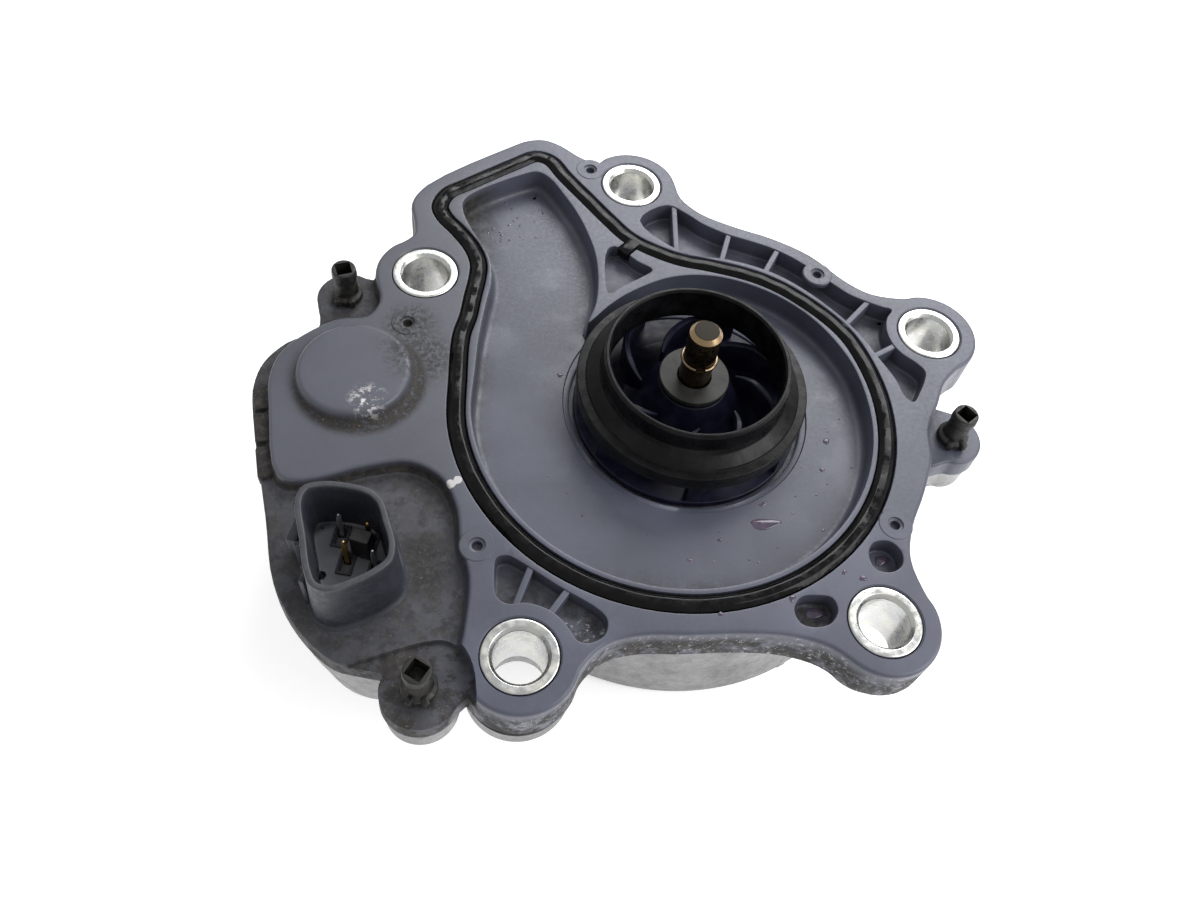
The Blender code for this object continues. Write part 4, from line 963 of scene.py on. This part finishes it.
def terminal_pin(number, centre, finish):
    """Square pin with a four-sided taper at its tip."""
    shape = bmesh.new()
    half = 0.4
    sections = [(half * 0.4, PIN_TOP), (half, PIN_TOP - 0.9), (half, PIN_LOW + 0.3), (half * 0.6, PIN_LOW)]
    corners = ((1, 1), (1, -1), (-1, -1), (-1, 1))
    loops = [loop_of(shape, [(centre[0] + x * width, centre[1] + y * width) for x, y in corners], height)
             for width, height in sections]
    skin(shape, loops)
    shape.faces.new(loops[0])
    shape.faces.new(loops[-1])
    bmesh.ops.bevel(shape, geom=shape.edges[:], offset=0.06 * MM, segments=2, affect="EDGES", profile=0.5)
    return finish_mesh(f"contact_pin_{number}", shape, finish)


# ---------------------------------------------------------------- fasteners and seal
def bolt_sleeve(number, centre):
    profile = filleted([(SLEEVE_OUTER, SLEEVE_LOW + 0.4, 0.3), (SLEEVE_OUTER, FACE, 0.4),
                        (SLEEVE_INNER + 0.6, FACE, 0.2), (SLEEVE_INNER, FACE - 0.7, 0.25),
                        (SLEEVE_INNER, SLEEVE_LOW, 0.3), (SLEEVE_OUTER - 0.4, SLEEVE_LOW, 0.2)], True)
    sleeve = turned(f"sleeve_{number}", profile, zinc, centre, 72, closed=True)
    fine_normals(sleeve)
    return sleeve


def cover_post(number, centre):
    """Tapered post with a square socket in its head and two small wings at its foot."""
    seat = LEDGE + 0.3
    low = EAR_FOOT + 1
    profile = filleted([(0, POST_TOP), (2.3, POST_TOP, 0.35), (2.45, POST_TOP - 1.6, 0.3),
                        (2.15, POST_TOP - 3.0, 0.5), (2.3, seat + 1.6, 0.3), (3.0, seat + 1.1, 0.3),
                        (3.0, seat, 0.1), (SCREW_RADIUS, seat, 0.1), (SCREW_RADIUS, low, 0.3), (0, low)])
    post = turned(f"square_socket_post_{number}", profile, grease, centre, 48)
    wings = []
    for angle in (-65, -115):
        x, y = polar(2.9, angle)
        wings.append(box(f"wing_{number}_{angle}", (centre[0] + x, centre[1] + y, seat + 0.9),
                         (1.6, 1.2, 1.8), angle, 0.3))
    combined(post, "UNION", wings)
    socket = box(f"socket_{number}", (*centre, POST_TOP), (2.9, 2.9, 7.0), 20 * number, 0.1)
    combined(post, "DIFFERENCE", [socket])
    fine_normals(post)
    return post


def volute_gasket():
    """Rubber cord with a crowned top, pressed into its groove."""
    low = GASKET_LOW
    high = GASKET_TOP
    profile = filleted([(1.4, low, 0.4), (1.62, low + 1.2, 0.4), (1.6, high - 0.9, 0.5),
                        (0.7, high - 0.1, 0.9), (-0.7, high - 0.1, 0.9), (-1.6, high - 0.9, 0.5),
                        (-1.62, low + 1.2, 0.4), (-1.4, low, 0.4)], True)
    shape = bmesh.new()
    outline = groove_centreline()
    outline = [point for i, here in enumerate(outline)
               for point in (here, tuple((Vector(here) + Vector(outline[(i + 1) % len(outline)])) / 2))]
    loops = [loop_of(shape, offset(outline, distance), height) for distance, height in profile]
    beads = random.Random(4)
    phase = 0.0
    lifts = []
    for _ in outline:
        phase += beads.uniform(0.5, 1.1)
        lifts.append(0.07 * math.sin(phase) * MM)
    for loop, (distance, height) in zip(loops, profile):
        if height > high - 0.6:
            for vert, lift in zip(loop, lifts):
                vert.co.z += lift - 0.07 * MM
    skin(shape, loops, closed=True)
    gasket = finish_mesh("gasket", shape, rubber, 60)
    combined(gasket, "UNION", [box("gasket_tab", (*TAB_PLACE, high - 1.15), (2.6, 4.6, 2.0), TAB_TURN, 0.4)])
    return gasket


def coolant_drops():
    """Flat drops and a small puddle left on the volute floor and in the drain pockets."""
    drops = random.Random(11)
    low = VOLUTE_FLOOR - 0.05
    spots = [(13.6, -25.6, low, 2.9, 1.15, 8), (13.6, -21.4, low, 1.0, 0.4, 30),
             (27.4, -6.6, low, 0.8, 0.6, 70), (25.8, -13.2, low, 0.6, 0.5, 0),
             (30.7, -19.6, low, 0.6, 0.4, 40), (5.0, -29.4, low, 0.5, 0.4, 0),
             (-24.7, 5.6, low, 0.6, 0.5, 0), (-0.7, -33.7, low, 0.6, 0.35, 0),
             (33.9, -32.8, FACE - 3.65, 1.5, 1.0, 20), (20.4, -43.6, FACE - 3.65, 1.9, 1.0, 0),
             (25.4, -37.2, FACE - 0.03, 0.6, 0.4, 60), (15.6, -42.6, FACE - 0.03, 0.8, 0.5, 60),
             (3.0, -46.0, FACE - 0.03, 0.5, 0.4, 0), (28.6, -38.2, FACE - 0.03, 0.7, 0.55, 10)]
    for _ in range(26):
        spots.append((drops.uniform(-41, -29), drops.uniform(40, 52), low, drops.uniform(0.2, 0.5),
                      drops.uniform(0.2, 0.4), drops.uniform(0, 90)))
    for _ in range(22):
        angle = drops.uniform(-2.6, 0.3)
        radius = drops.uniform(26, 36)
        spots.append((radius * math.cos(angle) - 2, radius * math.sin(angle) - 2, low,
                      drops.uniform(0.15, 0.4), drops.uniform(0.15, 0.3), drops.uniform(0, 90)))
    shape = bmesh.new()
    for x, y, height, length, width, turn in spots:
        made = bmesh.ops.create_icosphere(shape, subdivisions=3, radius=1.0)["verts"]
        for vert in made:
            ripple = 1.0 + 0.14 * math.sin(3 * math.atan2(vert.co.y, vert.co.x) + x)
            vert.co = Vector((vert.co.x * length * ripple, vert.co.y * width * ripple,
                              vert.co.z * 0.28 * min(1.0, width * 1.4)))
        bmesh.ops.rotate(shape, verts=made, matrix=Matrix.Rotation(math.radians(turn), 3, "Z"))
        bmesh.ops.translate(shape, verts=made, vec=(x, y, height))
    bmesh.ops.scale(shape, verts=shape.verts, vec=(MM, MM, MM))
    return finish_mesh("coolant_drops", shape, coolant_film, 80)


# ---------------------------------------------------------------- wet side
def shaft():
    ring_height = RIM_TOP + 0.3
    groove = SHAFT_RADIUS - 0.5
    profile = filleted([(0, SHAFT_TOP), (SHAFT_RADIUS - 0.8, SHAFT_TOP, 0.15),
                        (SHAFT_RADIUS, SHAFT_TOP - 0.9, 0.15), (SHAFT_RADIUS, ring_height + 0.6, 0.05),
                        (groove, ring_height + 0.6), (groove, ring_height - 0.6),
                        (SHAFT_RADIUS, ring_height - 0.6, 0.05), (SHAFT_RADIUS, SHAFT_FOOT + 0.5, 0.2),
                        (SHAFT_RADIUS - 0.5, SHAFT_FOOT, 0.1), (0, SHAFT_FOOT)])
    item = turned("pump_shaft", profile, shaft_steel, segments=64, sharp=25)
    fine_normals(item)
    return item


def snap_ring():
    curve = bpy.data.curves.new("wire_ring", "CURVE")
    curve.dimensions = "3D"
    curve.bevel_depth = 0.36 * MM
    curve.bevel_resolution = 5
    curve.use_fill_caps = True
    spline = curve.splines.new("POLY")
    points = arc((0, 0), SHAFT_RADIUS + 0.15, 255, -75, 8)
    spline.points.add(len(points) - 1)
    for point, (x, y) in zip(spline.points, points):
        point.co = (x * MM, y * MM, (RIM_TOP + 0.3) * MM, 1.0)
    item = bpy.data.objects.new("wire_ring", curve)
    curve.materials.append(ring_steel)
    bpy.context.scene.collection.objects.link(item)
    return item


def thrust_washer():
    inner = SHAFT_RADIUS + 0.2
    profile = filleted([(WASHER_RADIUS, WASHER_TOP, 0.25), (WASHER_RADIUS, WASHER_LOW, 0.25),
                        (inner, WASHER_LOW, 0.1), (inner, WASHER_TOP, 0.2)], True)
    item = turned("ceramic_washer", profile, ceramic, closed=True)
    fine_normals(item)
    return item


def shroud_underside(radius):
    reach = (radius - EYE_RADIUS) / (IMPELLER_RADIUS - EYE_RADIUS)
    return FACE + 2.9 - 3.0 * min(1.0, max(0.0, reach)) ** 0.7


def impeller_shroud():
    """Front ring of the impeller: an upright eye rim, a cone and a lip."""
    profile = [(17.1, RIM_TOP, 0.2), (17.5, RIM_TOP - 0.5, 0.3), (17.45, FACE + 5.9, 0.4),
               (17.9, FACE + 4.9, 0.6), (20.1, FACE + 3.55, 0.3), (20.3, FACE + 3.15, 0.15),
               (IMPELLER_RADIUS, FACE + 3.1, 0.3), (IMPELLER_RADIUS, FACE + 0.8, 0.2)]
    under = (21.9, 21, 20, 19, 17.8, 17, EYE_RADIUS + 0.1)
    profile += [(radius, shroud_underside(radius)) for radius in under]
    profile += [(EYE_RADIUS, FACE + 3.6, 0.5), (EYE_RADIUS, RIM_TOP - 0.5, 0.3),
                (EYE_RADIUS + 0.35, RIM_TOP, 0.15)]
    item = turned("impeller_eye_ring", filleted(profile, True), impeller_black, segments=128, closed=True)
    fine_normals(item)
    return item


def vane(number, count=7):
    """One backward-curved vane with rounded edges."""
    start_angle = math.radians(20 + 360 / count * number)
    steps = 18
    inner, outer = 9.5, IMPELLER_RADIUS - 0.8
    thick = 0.62
    shape = bmesh.new()
    sections = []
    for i in range(steps + 1):
        along = i / steps
        radius = inner + (outer - inner) * along
        angle = start_angle - math.radians(62) * along
        middle = Vector((radius * math.cos(angle), radius * math.sin(angle)))
        heading = Vector((math.cos(angle), math.sin(angle))) * (outer - inner) \
            + Vector((math.sin(angle), -math.cos(angle))) * radius * math.radians(62)
        side = Vector((-heading.y, heading.x)).normalized()
        half = thick * (0.45 + 0.55 * min(1.0, along * 5))
        high = min(FACE + 1.2 + 0.45 * (radius - inner), shroud_underside(radius) - 0.45)
        low = VOLUTE_FLOOR - 0.6
        ring = []
        section = ((-1, low), (-1, high - 0.3), (-0.6, high), (0.6, high), (1, high - 0.3), (1, low))
        for share, height in section:
            spot = middle + side * half * share
            ring.append(shape.verts.new((spot.x * MM, spot.y * MM, height * MM)))
        sections.append(ring)
    skin(shape, sections)
    shape.faces.new(sections[0])
    shape.faces.new(sections[-1])
    return finish_mesh(f"vane_{number}", shape)


def impeller_hub():
    bore = 5.7
    hub_top = WASHER_LOW - 0.6
    stem_foot = node_low("impeller_hub")[2]
    profile = filleted([(bore, hub_top, 0.2), (6.6, hub_top, 0.4), (7.6, FACE + 1.5, 1.5),
                        (9.5, FACE - 1.6, 2.0), (12.5, FACE - 3.9, 2.0), (16, FACE - 4.8, 1.5),
                        (IMPELLER_RADIUS, VOLUTE_FLOOR, 0.3), (IMPELLER_RADIUS, VOLUTE_FLOOR - 1.5, 0.3),
                        (12, VOLUTE_FLOOR - 1.7, 0.5), (8.0, VOLUTE_FLOOR - 3.5, 0.5),
                        (8.0, stem_foot, 0.3), (bore, stem_foot, 0.2)], True)
    hub = turned("vaned_hub", profile, hub_navy, segments=96, closed=True)
    combined(hub, "UNION", [vane(number) for number in range(7)])
    holes = [drill(f"balance_hole_{i}", polar(13.2, angle), 0.8, 30, segments=24)
             for i, angle in enumerate((33, 153, 273))]
    combined(hub, "DIFFERENCE", holes)
    fine_normals(hub)
    return hub


# ---------------------------------------------------------------- rear cover
def rear_cover():
    """Die-cast motor can and electronics bay with its ears, ribs and lugs."""
    rim = SPLIT - 0.3
    above = rim + 2
    can = filleted([(0, above), (CAN_RIM_RADIUS, above), (CAN_RIM_RADIUS, 26.6, 0.5),
                    (CAN_RADIUS, 25.8, 0.5), (CAN_RADIUS - 0.25, 2.4, 1.5), (CAN_RADIUS - 2.4, 0, 1.2),
                    (21, 0, 0.6), (20, 0.8, 0.6), (9, 0.8, 0.6), (8, 0, 0.6), (0, 0)])
    cover = turned("cast_rear_cover", can, aluminium, segments=128)
    solids = [swept("bay_rim", cover_outline(),
                    filleted([(0, above + 1), (0, EAR_FOOT, 0.8), (-1.5, EAR_FOOT)])),
              swept("bay_pan", pan_outline(),
                    filleted([(0, EAR_FOOT + 1), (-0.3, BAY_FOOT, 1.6), (-3, BAY_FOOT)])),
              swept("right_ear_lug", right_ear_outline(EAR_RADIUS - 0.3),
                    filleted([(0, above + 2), (-0.1, EAR_FOOT, 0.7), (-1.5, EAR_FOOT)])),
              swept("bolt_lug", smooth(arc(BOLTS[4], 9.2, 10, -190) + [(-36, -44), (-30, -36), (-20, -40)]),
                    filleted([(0, SLEEVE_LOW - 0.4), (0, SLEEVE_LOW - 4, 0.7), (-1.2, SLEEVE_LOW - 4)]))]
    solids += [rib(f"can_rib_{number}", polar(44, angle), polar(46.4, angle), 2.5, 25.5, 2.0)
               for number, angle in enumerate((300, 330, 0, 30, 60, 100), 1)]
    solids += [rib(f"end_rib_{number}", polar(10, angle), polar(20.4, angle), 0.1, 1.4, 1.6)
               for number, angle in enumerate((20, 80, 140, 200, 260, 320), 1)]
    pan_ribs = [((-76, -4), (-46, -4)), ((-74, -22), (-42, -22)), ((-66, -42), (-40, -34))]
    for number, (start, end) in enumerate(pan_ribs, 1):
        solids.append(rib(f"pan_rib_{number}", start, end, BAY_FOOT - 1.2, BAY_FOOT + 1, 1.8))
    combined(cover, "UNION", solids)
    cuts = [drill("can_bore", (0, 0), CAN_BORE, CAN_FLOOR, segments=96),
            swept("bay_hollow", bay_hollow_outline(), [(0, FACE), (0, BAY_FLOOR)]),
            drill("lug_hole", BOLTS[4], 5.2, 15),
            box("lead_window", (-46, 0, 26), (10, 10, 8)),
            box("rim_trim", (0, 0, rim + 10), (300, 300, 20))]
    for number, bolt in enumerate(BOLTS, 1):
        cuts.append(drill(f"boss_clearance_{number}", bolt, BOSS_FOOT_RADIUS + 0.3, SLEEVE_LOW - 0.3))
    for number, ear in enumerate(EARS, 1):
        cuts.append(drill(f"screw_hole_{number}", ear, SCREW_HOLE, CUTTER_LOW, segments=32))
    combined(cover, "DIFFERENCE", cuts)
    screws = [(i, tuple(node_centre(f"board_screw_{i}")[:2])) for i in (1, 2, 3)]
    stud = [(0, STUD_TOP), (2.8, STUD_TOP), (3.0, BAY_FLOOR - 1), (0, BAY_FLOOR - 1)]
    combined(cover, "UNION",
             [turned(f"board_stud_{i}", stud, centre=screw, segments=32) for i, screw in screws])
    combined(cover, "DIFFERENCE",
             [drill(f"stud_hole_{i}", screw, 1.3, BAY_FLOOR + 1.5, segments=24) for i, screw in screws])
    fine_normals(cover)
    return cover


# ---------------------------------------------------------------- build the pieces
place(front_housing(), "pump_body", "housing_plastic", "front_housing")
fixed = [(connector(), "shroud_plastic", ()),
         (coolant_drops(), "housing_plastic", ()),
         (volute_gasket(), "black_rubber", ("volute_gasket",)),
         (shaft(), "ground_steel", ("shaft",)),
         (snap_ring(), "ground_steel", ("snap_ring",)),
         (thrust_washer(), "washer_ceramic", ("front_thrust_washer",)),
         (rear_cover(), "cast_aluminium", ("rear_cover",))]
fixed += [(bolt_sleeve(i, bolt), "zinc_steel", (f"bolt_sleeve_{i}",)) for i, bolt in enumerate(BOLTS, 1)]
fixed += [(cover_post(i, ear), "grease_black", (f"cover_screw_{i}",)) for i, ear in enumerate(EARS, 1)]
platings = [(tin, "tin_plate"), (gold, "gold_plate"), (gold, "gold_plate"), (tin, "tin_plate")]
for i, (pin, (finish, slot)) in enumerate(zip(PINS, platings), 1):
    fixed.append((terminal_pin(i, pin, finish), slot, (f"terminal_pin_{i}",)))
for item, slot, nodes in fixed:
    place(item, "pump_body", slot, *nodes)
place(impeller_shroud(), "rotor", "shroud_plastic", "impeller_shroud")
place(impeller_hub(), "rotor", "hub_plastic", "impeller_hub")

keep(["rear_thrust_washer"], ceramic)
keep(["rotor_can"], can_plastic)
keep(["can_o_ring"], seal_rubber)
keep(["stator_core", "rotor_core"], lamination)
keep([f"coil_{i}" for i in range(1, 7)], copper)
keep(["circuit_board"], solder_mask)
keep(["driver_chip", "power_transistor_1", "power_transistor_2", "power_transistor_3"], black_part)
keep(["filter_capacitor"], sleeve_film)
keep(["filter_choke", "rotor_magnet"], ferrite)
keep(["bearing_bush"], carbon)
keep(["board_screw_1", "board_screw_2", "board_screw_3"], zinc)


# ---------------------------------------------------------------- floor, light and camera
def floor():
    shape = bmesh.new()
    bmesh.ops.create_grid(shape, x_segments=1, y_segments=1, size=1.5)
    s = Surface("pale_floor", (0.9, 0.9, 0.9), 0.6)
    tone = s.mix((0.89, 0.89, 0.89), (0.93, 0.93, 0.93), s.noise(60, 3))
    s.shader.inputs["Emission Color"].default_value = (1.0, 1.0, 1.0, 1.0)
    s.shader.inputs["Emission Strength"].default_value = 0.5
    item = finish_mesh("floor", shape, s.finish(tone))


def soft_light(name, place_at, target, size, power):
    data = bpy.data.lights.new(name, "AREA")
    data.shape = "RECTANGLE"
    data.size, data.size_y = size
    data.energy = power
    item = bpy.data.objects.new(name, data)
    item.location = place_at
    item.rotation_euler = (Vector(target) - Vector(place_at)).to_track_quat("-Z", "Y").to_euler()
    bpy.context.scene.collection.objects.link(item)


def studio():
    world = bpy.data.worlds.new("soft_white_room")
    world.use_nodes = True
    background = world.node_tree.nodes["Background"]
    background.inputs["Color"].default_value = (1.0, 1.0, 1.0, 1.0)
    background.inputs["Strength"].default_value = 0.62
    scene = bpy.context.scene
    scene.world = world
    scene.view_settings.view_transform = "Standard"
    soft_light("back_softbox", (0.2, 0.5, 0.5), (0, 0, 0.03), (0.6, 0.3), 4.0)
    soft_light("right_softbox", (0.5, -0.15, 0.45), (0, 0, 0.03), (0.4, 0.5), 3.0)


def camera():
    """Camera seen from the lower left in plan, looking down at the mounting face."""
    data = bpy.data.cameras.new("camera")
    data.sensor_width = 36.0
    data.lens = 30.47
    data.clip_start = 0.005
    item = bpy.data.objects.new("camera", data)
    item.location = (-0.03263, -0.11514, 0.19466)
    item.rotation_euler = [math.radians(angle) for angle in (32.88, -5.673, 0.0)]
    bpy.context.scene.collection.objects.link(item)
    bpy.context.scene.camera = item


floor()
studio()
camera()
